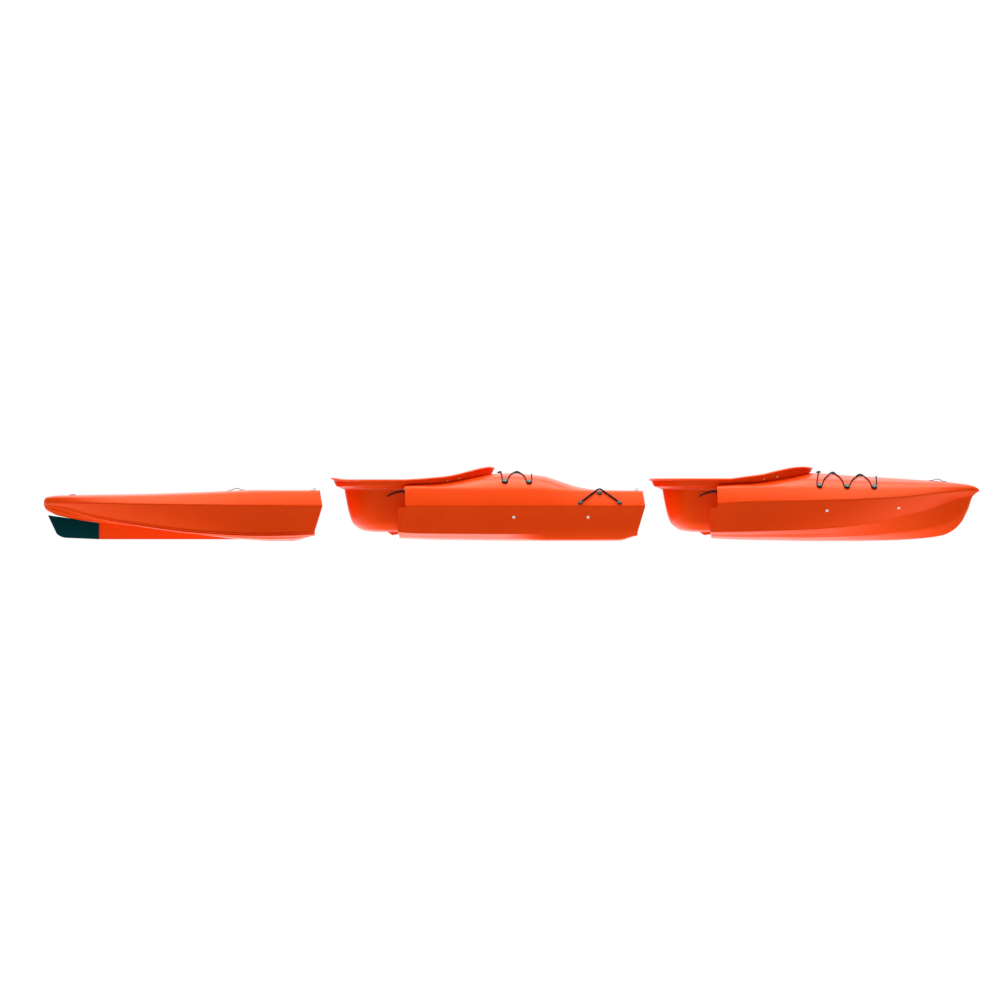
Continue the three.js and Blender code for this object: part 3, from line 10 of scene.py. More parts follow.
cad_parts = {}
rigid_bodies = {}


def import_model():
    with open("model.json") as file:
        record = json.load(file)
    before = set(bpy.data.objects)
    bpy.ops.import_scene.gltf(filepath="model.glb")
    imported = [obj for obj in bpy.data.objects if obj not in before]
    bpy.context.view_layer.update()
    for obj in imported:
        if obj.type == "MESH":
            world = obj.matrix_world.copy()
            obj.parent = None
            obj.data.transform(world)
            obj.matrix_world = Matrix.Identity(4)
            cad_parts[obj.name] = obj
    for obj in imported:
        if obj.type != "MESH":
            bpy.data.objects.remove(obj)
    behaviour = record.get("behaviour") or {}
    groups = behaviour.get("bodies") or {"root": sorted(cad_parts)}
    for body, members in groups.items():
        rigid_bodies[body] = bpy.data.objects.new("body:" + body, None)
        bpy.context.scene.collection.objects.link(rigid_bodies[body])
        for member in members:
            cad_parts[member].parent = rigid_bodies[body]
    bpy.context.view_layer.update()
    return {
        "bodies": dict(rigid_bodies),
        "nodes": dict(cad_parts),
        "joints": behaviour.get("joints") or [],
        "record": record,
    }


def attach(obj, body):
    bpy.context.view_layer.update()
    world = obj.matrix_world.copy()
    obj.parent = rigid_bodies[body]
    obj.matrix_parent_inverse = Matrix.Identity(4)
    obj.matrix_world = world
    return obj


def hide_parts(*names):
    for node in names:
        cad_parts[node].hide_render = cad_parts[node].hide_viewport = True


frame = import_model()

# Camera, floor and light.
# A long lens looks at the starboard side from deck height, and the floor and backdrop are plain white.
camera_distance, view_width, sensor_width = 160.0, 5.2, 36
view_middle_x, view_middle_z = -0.0598, 0.2132
kayak_reach = 2.3
floor_reach, floor_level = 60.0, -0.0005
floor_paint, all_white = (0.6, 0.6, 0.6, 1), (1, 1, 1, 1)


def linked(name, data):
    """A new object of some data, in the scene."""
    made = bpy.data.objects.new(name, data)
    bpy.context.scene.collection.objects.link(made)
    return made


camera = linked("camera", bpy.data.cameras.new("camera"))
camera.location = (view_middle_x, -camera_distance, view_middle_z)
camera.rotation_euler = (math.pi / 2, 0, 0)
camera.data.sensor_width = sensor_width
camera.data.lens = sensor_width * camera_distance / view_width
camera.data.clip_end = 2.5 * camera_distance
bpy.context.scene.camera = camera
bpy.context.scene.view_settings.view_transform = "Standard"


def lamp(name, place, target, size, watts):
    """A flat softbox of a width and a depth at a place, turned to face its target."""
    data = bpy.data.lights.new(name, "AREA")
    data.shape = "RECTANGLE"
    data.size, data.size_y = size
    data.energy = watts
    lit = linked(name, data)
    lit.location = place
    lit.rotation_euler = (Vector(target) - Vector(place)).to_track_quat("-Z", "Y").to_euler()


lamp("light_over_deck", (0, 0.2, 3.2), (0, 0.2, 0), (8.0, 3.0), 370)
lamp("light_starboard", (0.4, -4.6, 2.6), (0, 0, 0.1), (7.0, 1.6), 22)
lamp("light_port", (-0.4, 4.6, 2.6), (0, 0, 0.1), (7.0, 1.6), 22)


def mesh_from(name, points, faces):
    """A mesh of a list of points, in metres, and arrays of faces that each have one count of corners."""
    mesh = bpy.data.meshes.new(name)
    every = [row.tolist() for block in faces for row in np.atleast_2d(block)]
    mesh.from_pydata(np.asarray(points, float).reshape(-1, 3).tolist(), [], every)
    mesh.update()
    return mesh


def feed(node, inputs):
    """Give a shader node its inputs, by name or place, each a value or a socket to link."""
    for key, value in dict(inputs).items():
        if isinstance(value, bpy.types.NodeSocket):
            node.id_data.links.new(value, node.inputs[key])
        else:
            node.inputs[key].default_value = value
    return node


def builder(tree):
    """Two functions for a shader tree. The first adds a node of a kind, with its settings and inputs. The second
    adds a maths node and gives its result."""
    def add(kind, inputs=(), **settings):
        made = tree.nodes.new(kind if kind.startswith("NodeGroup") else "ShaderNode" + kind)
        for name, value in settings.items():
            setattr(made, name, value)
        return feed(made, inputs)

    def work(operation, *values):
        return add("Math", enumerate(values), operation=operation).outputs[0]

    return add, work


def studio_white():
    """White floor. To the camera, a band beside the kayak is a plain lit surface, which keeps the shadow, and
    further out it is white. Under the hull it glows upwards like a light table, and elsewhere it mirrors dimly."""
    paint = bpy.data.materials.new("studio_white")
    paint.use_nodes = True
    paint.node_tree.nodes.clear()
    add, work = builder(paint.node_tree)

    def fading(distance, begin, finish):
        """0 up to one distance, rising smoothly to 1 at another."""
        return add("MapRange", {"Value": distance, "From Min": begin, "From Max": finish},
                   interpolation_type="SMOOTHSTEP").outputs["Result"]

    split = add("SeparateXYZ", {0: add("TexCoord").outputs["Object"]}).outputs
    ray = add("LightPath").outputs
    seen, mirrored = ray["Is Camera Ray"], ray["Is Glossy Ray"]
    off_axis = work("ABSOLUTE", split["Y"])
    away = work("MAXIMUM", off_axis, work("SUBTRACT", work("ABSOLUTE", split["X"]), kayak_reach))
    white = work("ADD", 0.6, work("MULTIPLY", fading(away, 0.45, 1.5), 0.4))
    under = work("SUBTRACT", 1.0, fading(off_axis, 0.28, 0.44))
    shine = work("MAXIMUM", under, work("MULTIPLY", mirrored, 0.85))
    share = work("ADD", work("MULTIPLY", seen, white), work("MULTIPLY", work("SUBTRACT", 1.0, seen), shine))
    level = work("MAXIMUM", work("MAXIMUM", seen, mirrored), work("ADD", 0.1, work("MULTIPLY", under, 1.4)))
    lit = add("BsdfDiffuse", {"Color": floor_paint}).outputs[0]
    glow = add("Emission", {"Strength": level}).outputs[0]
    add("OutputMaterial", {"Surface": add("MixShader", {0: share, 1: lit, 2: glow}).outputs[0]})
    return paint


floor_corners = [(x * floor_reach, y * floor_reach, floor_level) for x, y in ((-1, -1), (1, -1), (1, 1), (-1, 1))]
floor = linked("floor", mesh_from("floor", floor_corners, [np.array([[0, 1, 2, 3]])]))
floor.data.materials.append(studio_white())

world = bpy.data.worlds.new("studio")
bpy.context.scene.world = world
world.use_nodes = True
world.node_tree.nodes.clear()
add, work = builder(world.node_tree)
ray = add("LightPath").outputs
fill, backdrop = (add("Background", {"Color": all_white, "Strength": value}).outputs[0] for value in (0.12, 1.0))
share = work("MAXIMUM", ray["Is Camera Ray"], ray["Is Glossy Ray"])
add("OutputWorld", {"Surface": add("MixShader", {0: share, 1: fill, 2: backdrop}).outputs[0]})

# Hull shells.
# Each section is one rotomoulded skin of orange polyethylene: a flat keel, a bilge, a lower chine, a knuckle
# at the widest line and a crowned deck. The mould leaves every edge rounded and the skin 6 mm thick.
half_beam = 0.360
deck_height = 0.266
skin = 0.006
seam = 0.0003
beyond = 0.060
section_x = {"stern": -2.4315, "mid": -0.5515, "bow": 1.0705}
section_length = {"stern": 1.447, "mid": 1.246, "bow": 1.361}
front_lean = 0.040
rear_lean = 0.031
front_lean_shares = {"keel": 1.7, "bilge": 1.5, "chine": 1.0, "knuckle": 0.0, "deck": 0.33}
rear_lean_shares = {"keel": 1.0, "bilge": 1.0, "chine": 1.0, "knuckle": 0.0, "deck": 0.1}
bilge_y_share = {"stern": [(0, 0.68), (1, 0.68)], "mid": [(0, 0.68), (0.38, 0.68), (0.6, 0.95), (1, 0.95)],
                 "bow": [(0, 0.68), (1, 0.68)]}
bilge_rise_share = {"stern": [(0, 0.3), (1, 0.3)], "mid": [(0, 0.3), (0.38, 0.3), (0.6, 0.1), (1, 0.15)],
                    "bow": [(0, 0.3), (1, 0.3)]}
shoulder_y_share = 0.833
end_crown = [(0, 0), (0.18, 0.479), (0.42, 0.743), (0.68, 0.912), (0.88, 0.984), (1, 1)]
crown_pairs = {"stern": end_crown, "bow": end_crown,
               "mid": [(0, 0), (0.1, 0.36), (0.22, 0.66), (0.4, 0.87), (0.7, 0.98), (1, 1)]}
hull_lines = {
    "stern": {
        "keel_z": [(0, 0.7), (0.007, 0.62), (0.029, 0.55), (0.05, 0.5), (0.194, 0.357), (0.327, 0.29),
                   (0.56, 0.124), (0.72, 0.03), (0.83, 0), (0.896, 0), (1, 0.08)],
        "keel_flat": [(0, 0.3), (0.5, 0.35), (1, 0.38)],
        "chine_y": [(0, 0.02), (0.007, 0.05), (0.029, 0.09), (0.05, 0.12), (0.1, 0.18), (0.194, 0.29),
                    (0.327, 0.45), (0.56, 0.67), (0.776, 0.79), (0.896, 0.81), (1, 0.81)],
        "chine_z": [(0, 0.72), (0.007, 0.69), (0.05, 0.66), (0.194, 0.447), (0.327, 0.32), (0.56, 0.16),
                    (0.776, 0.105), (0.896, 0.115), (1, 0.14)],
        "knuckle_y": [(0, 0.03), (0.007, 0.08), (0.029, 0.16), (0.05, 0.21), (0.1, 0.31), (0.194, 0.47),
                      (0.327, 0.665), (0.56, 0.89), (0.776, 0.985), (0.896, 1), (1, 1)],
        "knuckle_z": [(0, 0.745), (0.05, 0.74), (0.194, 0.737), (0.327, 0.725), (0.56, 0.707), (1, 0.686)],
        "shoulder_rise": [(0, 0.7), (0.3, 0.8), (0.7, 0.9), (1, 0.93)],
        "crown_z": [(0, 0.79), (0.007, 0.85), (0.029, 0.877), (0.05, 0.89), (0.194, 0.905), (0.327, 0.915),
                    (0.56, 0.955), (0.776, 1), (0.896, 1.004), (1, 1.004)],
    },
    "mid": {
        "keel_z": [(0, 0.053), (0.1, 0.03), (0.35, 0.012), (0.65, 0), (0.887, 0), (1, 0.08)],
        "keel_flat": [(0, 0.38), (1, 0.38)],
        "chine_y": [(0, 0.81), (1, 0.81)],
        "chine_z": [(0, 0.177), (0.057, 0.155), (0.5, 0.14), (0.887, 0.14), (1, 0.155)],
        "knuckle_y": [(0, 1), (1, 1)],
        "knuckle_z": [(0, 0.684), (1, 0.682)],
        "shoulder_rise": [(0, 0.87), (0.04, 0.85), (0.121, 0.77), (0.173, 0.72), (0.242, 0.65), (0.307, 0.6),
                          (0.359, 0.565), (0.415, 0.555), (0.457, 0.56), (0.516, 0.575), (0.574, 0.6),
                          (0.615, 0.64), (0.653, 0.7), (0.72, 0.84), (0.787, 0.93), (1, 0.95)],
        "crown_z": [(0, 1.11), (0.121, 1.158), (0.242, 1.235), (0.307, 1.277), (0.359, 1.308), (0.415, 1.323),
                    (0.457, 1.32), (0.516, 1.297), (0.574, 1.27), (0.615, 1.214), (0.653, 1.154), (0.72, 1.056),
                    (0.787, 1.008), (0.887, 0.996), (1, 0.989)],
    },
    "bow": {
        "keel_z": [(0, 0.053), (0.067, 0.03), (0.264, 0.008), (0.36, 0), (0.51, 0), (0.61, 0.006), (0.69, 0.019),
                   (0.751, 0.038), (0.812, 0.068), (0.869, 0.124), (0.896, 0.195), (0.916, 0.274), (0.935, 0.39),
                   (0.949, 0.526), (0.961, 0.665), (0.97, 0.81), (0.976, 0.875), (1, 0.975)],
        "keel_flat": [(0, 0.38), (0.5, 0.34), (0.8, 0.1), (1, 0.05)],
        "chine_y": [(0, 0.81), (0.17, 0.8), (0.315, 0.74), (0.51, 0.58), (0.697, 0.34), (0.83, 0.17),
                    (0.903, 0.09), (0.955, 0.05), (0.985, 0.03), (1, 0.015)],
        "chine_z": [(0, 0.177), (0.067, 0.184), (0.315, 0.222), (0.413, 0.248), (0.51, 0.297), (0.608, 0.372),
                    (0.708, 0.496), (0.805, 0.62), (0.903, 0.81), (0.972, 0.9), (1, 0.985)],
        "knuckle_y": [(0, 1), (0.17, 0.997), (0.315, 0.958), (0.51, 0.83), (0.697, 0.617), (0.83, 0.405),
                      (0.903, 0.255), (0.955, 0.14), (0.985, 0.065), (1, 0.025)],
        "knuckle_z": [(0, 0.722), (0.1, 0.763), (0.315, 0.782), (0.51, 0.808), (0.697, 0.853), (0.83, 0.925),
                      (0.903, 0.962), (0.972, 0.99), (1, 0.995)],
        "shoulder_rise": [(0, 0.78), (0.067, 0.75), (0.128, 0.7), (0.19, 0.63), (0.239, 0.57), (0.285, 0.53),
                          (0.3615, 0.49), (0.388, 0.48), (1, 0.48)],
        "crown_z": [(0, 1.143), (0.067, 1.168), (0.128, 1.195), (0.19, 1.244), (0.239, 1.282), (0.285, 1.308),
                    (0.3615, 1.33), (0.388, 1.325), (0.506, 1.278), (0.597, 1.252), (0.721, 1.21), (0.874, 1.154),
                    (0.927, 1.124), (0.972, 1.085), (0.991, 1.045), (1, 1.01)],
    },
}
# Ridges and steps moulded along the bottom: share of the way from bilge to chine, depth, and where it fades
stern_fade, mid_fade = [(0, 0), (0.04, 1), (0.8, 1), (1, 0.4)], [(0, 1), (0.35, 0.8), (0.6, 0)]
bow_low_fade, bow_high_fade = [(0, 0.6), (0.3, 1), (0.47, 0)], [(0, 1), (0.3, 1), (0.47, 0)]
hull_mouldings = {
    "stern": [(0.16, -0.001, stern_fade), (0.30, -0.005, stern_fade), (0.50, 0.002, stern_fade),
              (0.80, 0.003, stern_fade)],
    "mid": [(0.30, 0.004, mid_fade), (0.36, -0.002, mid_fade)],
    "bow": [(0.10, 0.0045, bow_low_fade), (0.16, -0.003, bow_low_fade), (0.50, 0.0045, bow_high_fade),
            (0.56, -0.003, bow_high_fade)],
}
# Beads along the lower chine, each corner as a distance up the side from the chine and one out from it, with the
# corner's radius, and where they fade
chine_beads = {
    "stern": ([(-0.005, 0.001, 0.003), (0.002, 0.006, 0.0015), (0.005, 0.0, 0.0015), (0.0065, -0.001, 0.001),
               (0.0125, 0.006, 0.0015), (0.0165, 0.0, 0.003)], [(0, 0), (0.04, 1), (0.85, 1), (1, 0.3)]),
    "mid": ([(0.0, 0.003, 0.005), (0.006, 0.0, 0.004)], [(0, 1), (0.35, 0.6), (0.6, 0), (1, 0)]),
    "bow": ([(0.0, 0.002, 0.005), (0.006, 0.0, 0.004)], [(0, 1), (0.5, 1), (0.8, 0), (1, 0)]),
}
plain_chine = [(0.0, 0.0, 0.005)]
bottom_radius, moulding_radius, knuckle_radius, shoulder_radius = 0.03, 0.004, 0.007, 0.014
full_relief_run, bead_side_share = 0.05, 0.3
crown_steps = np.linspace(0, 1, 17)[1:]
longest_reach = 0.46


def along(pairs, t):
    """Value of a long line at shares t: cubic Hermite pieces whose slope at each pair is the harmonic mean of the
    slopes beside it, and nought at a turn, so that the line never overshoots."""
    knots, values = np.array(pairs, float).T
    slope = np.diff(values) / np.diff(knots)
    both = slope[:-1] * slope[1:]
    total = np.where(both > 0, slope[:-1] + slope[1:], 1)
    tangent = np.concatenate([slope[:1], np.where(both > 0, 2 * both / total, 0), slope[-1:]])
    t = np.clip(np.asarray(t, float), knots[0], knots[-1])
    i = np.clip(np.searchsorted(knots, t, side="right") - 1, 0, len(knots) - 2)
    span = knots[i + 1] - knots[i]
    u = (t - knots[i]) / span
    rise = values[i + 1] - values[i]
    start, end = tangent[i] * span, tangent[i + 1] * span
    return values[i] + u * start + u * u * (3 * rise - 2 * start - end) + u ** 3 * (start + end - 2 * rise)


def lines_of(hull, t):
    """Half-widths and heights, in metres, of a section's long lines at shares t of its length."""
    share = {name: along(pairs, t) for name, pairs in hull_lines[hull].items()}
    keel_z = share["keel_z"] * deck_height
    chine_y, chine_z = share["chine_y"] * half_beam, share["chine_z"] * deck_height
    knuckle_y, knuckle_z = share["knuckle_y"] * half_beam, share["knuckle_z"] * deck_height
    crown_z = share["crown_z"] * deck_height
    bilge_y = along(bilge_y_share[hull], t) * chine_y
    bilge_z = keel_z + along(bilge_rise_share[hull], t) * (chine_z - keel_z)
    shoulder_z = knuckle_z + share["shoulder_rise"] * (crown_z - knuckle_z)
    return {
        "keel": (0 * keel_z, keel_z), "flat": (share["keel_flat"] * chine_y, keel_z), "bilge": (bilge_y, bilge_z),
        "chine": (chine_y, chine_z), "knuckle": (knuckle_y, knuckle_z),
        "shoulder": (shoulder_y_share * knuckle_y, shoulder_z), "crown": (0 * crown_z, crown_z),
    }


def deck_z(hull, x, y):
    """Height of a section's deck at local places between its shoulders: crown curve over the half-width."""
    line = lines_of(hull, np.asarray(x, float) / section_length[hull])
    step = np.clip(1 - np.abs(y) / line["shoulder"][0], 0, 1)
    rise = along(crown_pairs[hull], step)
    return line["shoulder"][1] + (line["crown"][1] - line["shoulder"][1]) * rise


def inset_rings(rings, inset):
    """Rings of points, each moved in along the mean of its two edges' normals, with mitred corners."""
    if inset == 0:
        return rings
    edge = np.roll(rings, -1, 1)[:, :, 1:] - rings[:, :, 1:]
    length = np.maximum(np.linalg.norm(edge, axis=2, keepdims=True), 1e-9)
    normal = np.stack([edge[:, :, 1], -edge[:, :, 0]], 2) / length
    before = np.roll(normal, 1, 1)
    spread = np.maximum(1 + (normal * before).sum(2, keepdims=True), 0.3)
    moved = rings.copy()
    moved[:, :, 1:] += (normal + before) / spread * inset
    return moved


def rounded_rings(rings, radii, steps=5):
    """Rings whose corners with a radius become short parabolas, from that far before the corner to that far after."""
    before = np.roll(rings, 1, 1) - rings
    after = np.roll(rings, -1, 1) - rings
    u = np.linspace(0, 1, steps)[None, :, None]
    parts = []
    for j, radius in enumerate(radii):
        corner = rings[:, j:j + 1]
        if np.ndim(radius) == 0 and radius == 0:
            parts.append(corner)
            continue
        radius = np.reshape(radius, (-1, 1, 1))
        reach = []
        for side in (before[:, j:j + 1], after[:, j:j + 1]):
            length = np.maximum(np.linalg.norm(side, axis=2, keepdims=True), 1e-9)
            reach.append(side * np.minimum(radius / length, longest_reach))
        parts.append((1 - u) ** 2 * (corner + reach[0]) + 2 * u * (1 - u) * corner + u ** 2 * (corner + reach[1]))
    return np.concatenate(parts, 1)


def hull_rings(hull, t, inset=0.0, shift=0.0, lean=0.0, lean_shares=None):
    """Cross-sections of a section at shares t, from the keel up the starboard side to the crown and down to port.
    Those that are moved in by an inset have no mouldings or beads, which only the outer face of the skin has.
    Lean slides each long line back by its own share, and it may be an array with one value for each station."""
    t = np.asarray(t, float)
    line = lines_of(hull, t)
    x = t * section_length[hull] + shift
    lean_shares = lean_shares or dict.fromkeys(front_lean_shares, 0.0)
    corners, radii = [], []

    def corner(part, y, z, radius):
        corners.append(np.stack([x - lean * lean_shares[part], -y, z], 1))
        radii.append(radius)

    corner("keel", *line["keel"], 0)
    corner("keel", *line["flat"], bottom_radius)
    corner("bilge", *line["bilge"], bottom_radius)
    (y0, z0), (y1, z1), (y2, z2) = line["bilge"], line["chine"], line["knuckle"]
    run = np.maximum(np.hypot(y1 - y0, z1 - z0), 1e-9)
    small = np.minimum(1, run / full_relief_run)
    for share, depth, fade in hull_mouldings[hull] if inset == 0 else []:
        inward = depth * along(fade, t) * small
        corner("chine", y0 + share * (y1 - y0) - inward * (z1 - z0) / run,
               z0 + share * (z1 - z0) + inward * (y1 - y0) / run, moulding_radius)
    beads, fade = chine_beads[hull]
    side = np.maximum(np.hypot(y2 - y1, z2 - z1), 1e-9)
    for up, out, radius in beads if inset == 0 else plain_chine:
        up, out = up * np.minimum(1, bead_side_share * side / beads[-1][0]), out * (along(fade, t) * small)
        corner("chine", y1 + (up * (y2 - y1) + out * (z2 - z1)) / side,
               z1 + (up * (z2 - z1) - out * (y2 - y1)) / side, radius)
    corner("knuckle", *line["knuckle"], knuckle_radius)
    corner("deck", *line["shoulder"], shoulder_radius)
    for step in crown_steps:
        height = line["shoulder"][1] + (line["crown"][1] - line["shoulder"][1]) * along(crown_pairs[hull], step)
        corner("deck", line["shoulder"][0] * (1 - step), height, 0)
    half = np.stack(corners, 1)
    other = half[:, 1:-1][:, ::-1] * np.array([1, -1, 1])
    rings = inset_rings(np.concatenate([half, other], 1), inset)
    return rounded_rings(rings, radii + radii[1:-1][::-1])


def tube_quads(rows, count):
    """Quads between each ring of points and the next."""
    r, i = np.meshgrid(np.arange(rows - 1), np.arange(count), indexing="ij")
    j = (i + 1) % count
    return np.stack([r * count + i, r * count + j, (r + 1) * count + j, (r + 1) * count + i], -1).reshape(-1, 4)


def tube_faces(rows, count):
    """The quads of a tube of rings, and one face on each end."""
    ring = np.arange(count)[None]
    return [tube_quads(rows, count), ring[:, ::-1], ring + (rows - 1) * count]


def turned_faces(rows, count):
    """The quads of a tube of rings, and a fan on each end to one of the two points that follow the rings."""
    i = np.arange(count)
    j = (i + 1) % count
    first, last = np.full(count, rows * count), np.full(count, rows * count + 1)
    base = (rows - 1) * count
    return [tube_quads(rows, count), np.stack([first, j, i], -1), np.stack([last, base + i, base + j], -1)]


def loft_faces(rows, count):
    """The quads of a tube of rings, and its two ends closed by strips across from side to side."""
    half = count // 2
    k = np.arange(1, half - 1)
    strips = np.stack([k, count - k, count - k - 1, k + 1], -1)
    tips = np.array([[0, count - 1, 1], [half - 1, half + 1, half]])
    last = (rows - 1) * count
    return [tube_quads(rows, count), strips, tips, strips[:, ::-1] + last, tips[:, ::-1] + last]


def facing_out(points, faces):
    """The faces, turned round where they enclose a negative volume."""
    volume = 0.0
    for block in faces:
        corner = points[block]
        for k in range(1, block.shape[1] - 1):
            volume += np.einsum("ij,ij->", corner[:, 0], np.cross(corner[:, k], corner[:, k + 1]))
    return faces if volume > 0 else [block[:, ::-1] for block in faces]


def made_object(name, points, faces, x=0.0):
    """A closed object of points, moved along X, and faces, turned outwards."""
    points = np.asarray(points, float).reshape(-1, 3) + np.array([x, 0, 0])
    return linked(name, mesh_from(name, points, facing_out(points, faces)))


def solid_object(name, rings, x=0.0):
    """A closed object through an array of rings, moved along X."""
    return made_object(name, rings, loft_faces(*rings.shape[:2]), x)


def applied(piece):
    """The piece with its modifiers made part of its mesh."""
    mesh = bpy.data.meshes.new_from_object(piece.evaluated_get(bpy.context.evaluated_depsgraph_get()))
    piece.modifiers.clear()
    old = piece.data
    piece.data = mesh
    bpy.data.meshes.remove(old)
    return piece


def cut(*solids):
    """Steps that take solids away."""
    return [("DIFFERENCE", solid) for solid in solids]


def join(*solids):
    """Steps that join solids on."""
    return [("UNION", solid) for solid in solids]


def keep(*solids):
    """Steps that keep only what lies within solids."""
    return [("INTERSECT", solid) for solid in solids]


def carved(base, steps):
    """The base solid after its steps in order; the solids used up are removed."""
    for operation, other in steps:
        step = base.modifiers.new("step", "BOOLEAN")
        step.operation, step.solver, step.object = operation, "MANIFOLD", other
    applied(base)
    for _, other in steps:
        data = other.data
        bpy.data.objects.remove(other)
        bpy.data.meshes.remove(data)
    return base


def box_part(low, high):
    """Points and faces of a box between two corners."""
    corner = np.array([[a, b, c] for a in (0, 1) for b in (0, 1) for c in (0, 1)], float)
    points = np.array(low) + corner * (np.array(high) - np.array(low))
    return points, [np.array([[0, 1, 3, 2], [4, 6, 7, 5], [0, 4, 5, 1], [2, 3, 7, 6], [0, 2, 6, 4], [1, 5, 7, 3]])]


def box_solid(low, high, x=0.0):
    """A box between two corners, as an object moved along X."""
    return made_object("box", *box_part(low, high), x)


def side_solid(outline, y_low, y_high, x=0.0, name="slab"):
    """An outline in X and Z, thickened across the kayak and moved along X."""
    flat = np.array(outline, float)
    points = np.concatenate([np.insert(flat, 1, y, axis=1) for y in (y_low, y_high)])
    return made_object(name, points, tube_faces(2, len(flat)), x)


def finish_piece(piece, body, nodes, paint, angle=28):
    """Give a finished piece its material, its smooth shading up to an angle, and its place in the kayak."""
    mesh = piece.data
    mesh.materials.clear()
    mesh.materials.append(paint)
    mesh.polygons.foreach_set("material_index", np.zeros(len(mesh.polygons), int))
    mesh.polygons.foreach_set("use_smooth", np.ones(len(mesh.polygons), bool))
    mesh.set_sharp_from_angle(angle=math.radians(angle))
    mesh.update()
    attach(piece, body)
    if nodes:
        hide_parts(*nodes)
    return piece


def group_of(name, inputs, outputs):
    """A shader node group with number inputs and number outputs, its two building functions and its inputs."""
    group = bpy.data.node_groups.new(name, "ShaderNodeTree")
    for label, value in inputs.items():
        group.interface.new_socket(label, in_out="INPUT", socket_type="NodeSocketFloat").default_value = value
    for label in outputs:
        group.interface.new_socket(label, in_out="OUTPUT", socket_type="NodeSocketFloat")
    add, work = builder(group)
    return group, add, work, add("NodeGroupInput").outputs


def moulded_skin_group():
    """Surface of a rotomoulded or injected plastic. Peel is a fine dimpled noise, mottle a broad cloudy one, and
    scuff a set of long scratches that only shows below a height, where the hull drags on sand."""
    group, add, work, given = group_of(
        "moulded_skin", {"Peel Size": 0.0016, "Mottle Size": 0.35, "Scuff Height": 0.05, "Scuff Amount": 0.5},
        ("Height", "Mottle", "Scuff"))
    place = add("TexCoord").outputs["Object"]

    def noise(size, detail, source=place):
        return add("TexNoise", {"Scale": work("DIVIDE", 1.0, size), "Detail": detail, "Vector": source}).outputs["Fac"]

    scratches = noise(0.004, 4, add("Mapping", {"Scale": (0.02, 1, 1), "Vector": place}).outputs["Vector"])
    steep = add("MapRange", {"Value": scratches, "From Min": 0.6, "From Max": 0.72}).outputs[0]
    height = add("SeparateXYZ", {0: place}).outputs["Z"]
    low = add("MapRange", {"Value": height, "From Min": 0, "From Max": given["Scuff Height"], "To Min": 1,
                           "To Max": 0}).outputs[0]
    scuff = work("MULTIPLY", work("MULTIPLY", steep, low), given["Scuff Amount"])
    add("NodeGroupOutput", {"Height": work("SUBTRACT", noise(given["Peel Size"], 2), scuff),
                            "Mottle": noise(given["Mottle Size"], 3), "Scuff": scuff})
    return group


moulded_skin = moulded_skin_group()


def painted(name):
    """A material, its Principled shader, and its two building functions."""
    paint = bpy.data.materials.new(name)
    paint.use_nodes = True
    return paint, paint.node_tree.nodes["Principled BSDF"], *builder(paint.node_tree)


def between(add, share, first, second):
    """The colour at a share of the way between two, each a socket or three numbers."""
    ends = [value if isinstance(value, bpy.types.NodeSocket) else (*value, 1) for value in (first, second)]
    return add("Mix", {"Factor": share, "A": ends[0], "B": ends[1]}, data_type="RGBA").outputs["Result"]


def ranged(add, share, span):
    """The number at a share of the way between two."""
    return add("MapRange", {"Value": share, "To Min": span[0], "To Max": span[1]}).outputs["Result"]


def bumped(add, height, depth, strength=1.0):
    """The surface's normal after a relief of a depth in metres."""
    return add("Bump", {"Height": height, "Distance": depth, "Strength": strength}).outputs["Normal"]


def moulded_plastic(name, dark, light, worn, roughness, peel=0.0024, peel_depth=0.00002, mottle=0.35,
                    scuff=(0.05, 0.5), specular=0.5, shine_tint=(1, 1, 1), metallic=0.0):
    """Plastic paint: two tints mixed by the mottle, a worn tint in the scratches, gloss that follows the mottle."""
    paint, shader, add, _ = painted(name)
    face = add("Group", {"Peel Size": peel, "Mottle Size": mottle, "Scuff Height": scuff[0],
                         "Scuff Amount": scuff[1]}, node_tree=moulded_skin).outputs
    tint = between(add, face["Scuff"], between(add, face["Mottle"], dark, light), worn)
    feed(shader, {"Base Color": tint, "Roughness": ranged(add, face["Mottle"], roughness),
                  "Normal": bumped(add, face["Height"], peel_depth, 0.6), "Specular IOR Level": specular,
                  "Specular Tint": (*shine_tint, 1), "Metallic": metallic})
    return paint


orange_shell = moulded_plastic("orange_shell", (0.77, 0.044, 0.0006), (0.85, 0.054, 0.001), (0.90, 0.15, 0.04),
                               (0.26, 0.36), specular=0.25, shine_tint=(1, 0.6, 0.22))

# Seat tubs, sockets and flanges.
# The tub is one with the hull in front of it. It plugs into the socket of the section behind, its wedge locks
# under that section's floor, and a flange round its skin slides into a rebate.
tub_half_width = 0.225
tub_floor = 0.047
tub_top = 0.270
tub_depth = {"mid": 0.318, "bow": 0.287}
socket_depth = tub_depth["mid"]
tub_profile = [(0, 1), (0.015, 0.77), (0.045, 0.58), (0.12, 0.4), (0.21, 0.27), (0.46, 0.145), (0.63, 0.095), (1, 0)]
tub_bilge = 0.165
tub_side_share = 0.6
tub_end_share = 0.6
socket_clearance = 0.014
opening_reach = 0.754
opening_back = 0.030
opening_nose = 0.330
coaming_top = 0.387
rebate_depth = 0.048
rebate_skin = 0.0065
flange_reach = 0.038
flange_wall = 0.005
flange_clearance = 0.002
notch_half_width, notch_reach, notch_floor = 0.085, 0.112, 0.023
wedge_clearance, wedge_start, wedge_tip, wedge_end = 0.007, 0.034, 0.068, 0.098
front_lean_stretch = {"stern": (0.896, 0.104), "mid": (0.887, 0.113)}
rear_lean_stretch = {"mid": 0.057, "bow": 0.067}
fin_outline, fin_half = [(0.287, 0.009), (1.030, 0.009), (1.030, 0.020), (0.700, 0.075), (0.287, 0.104)], 0.012


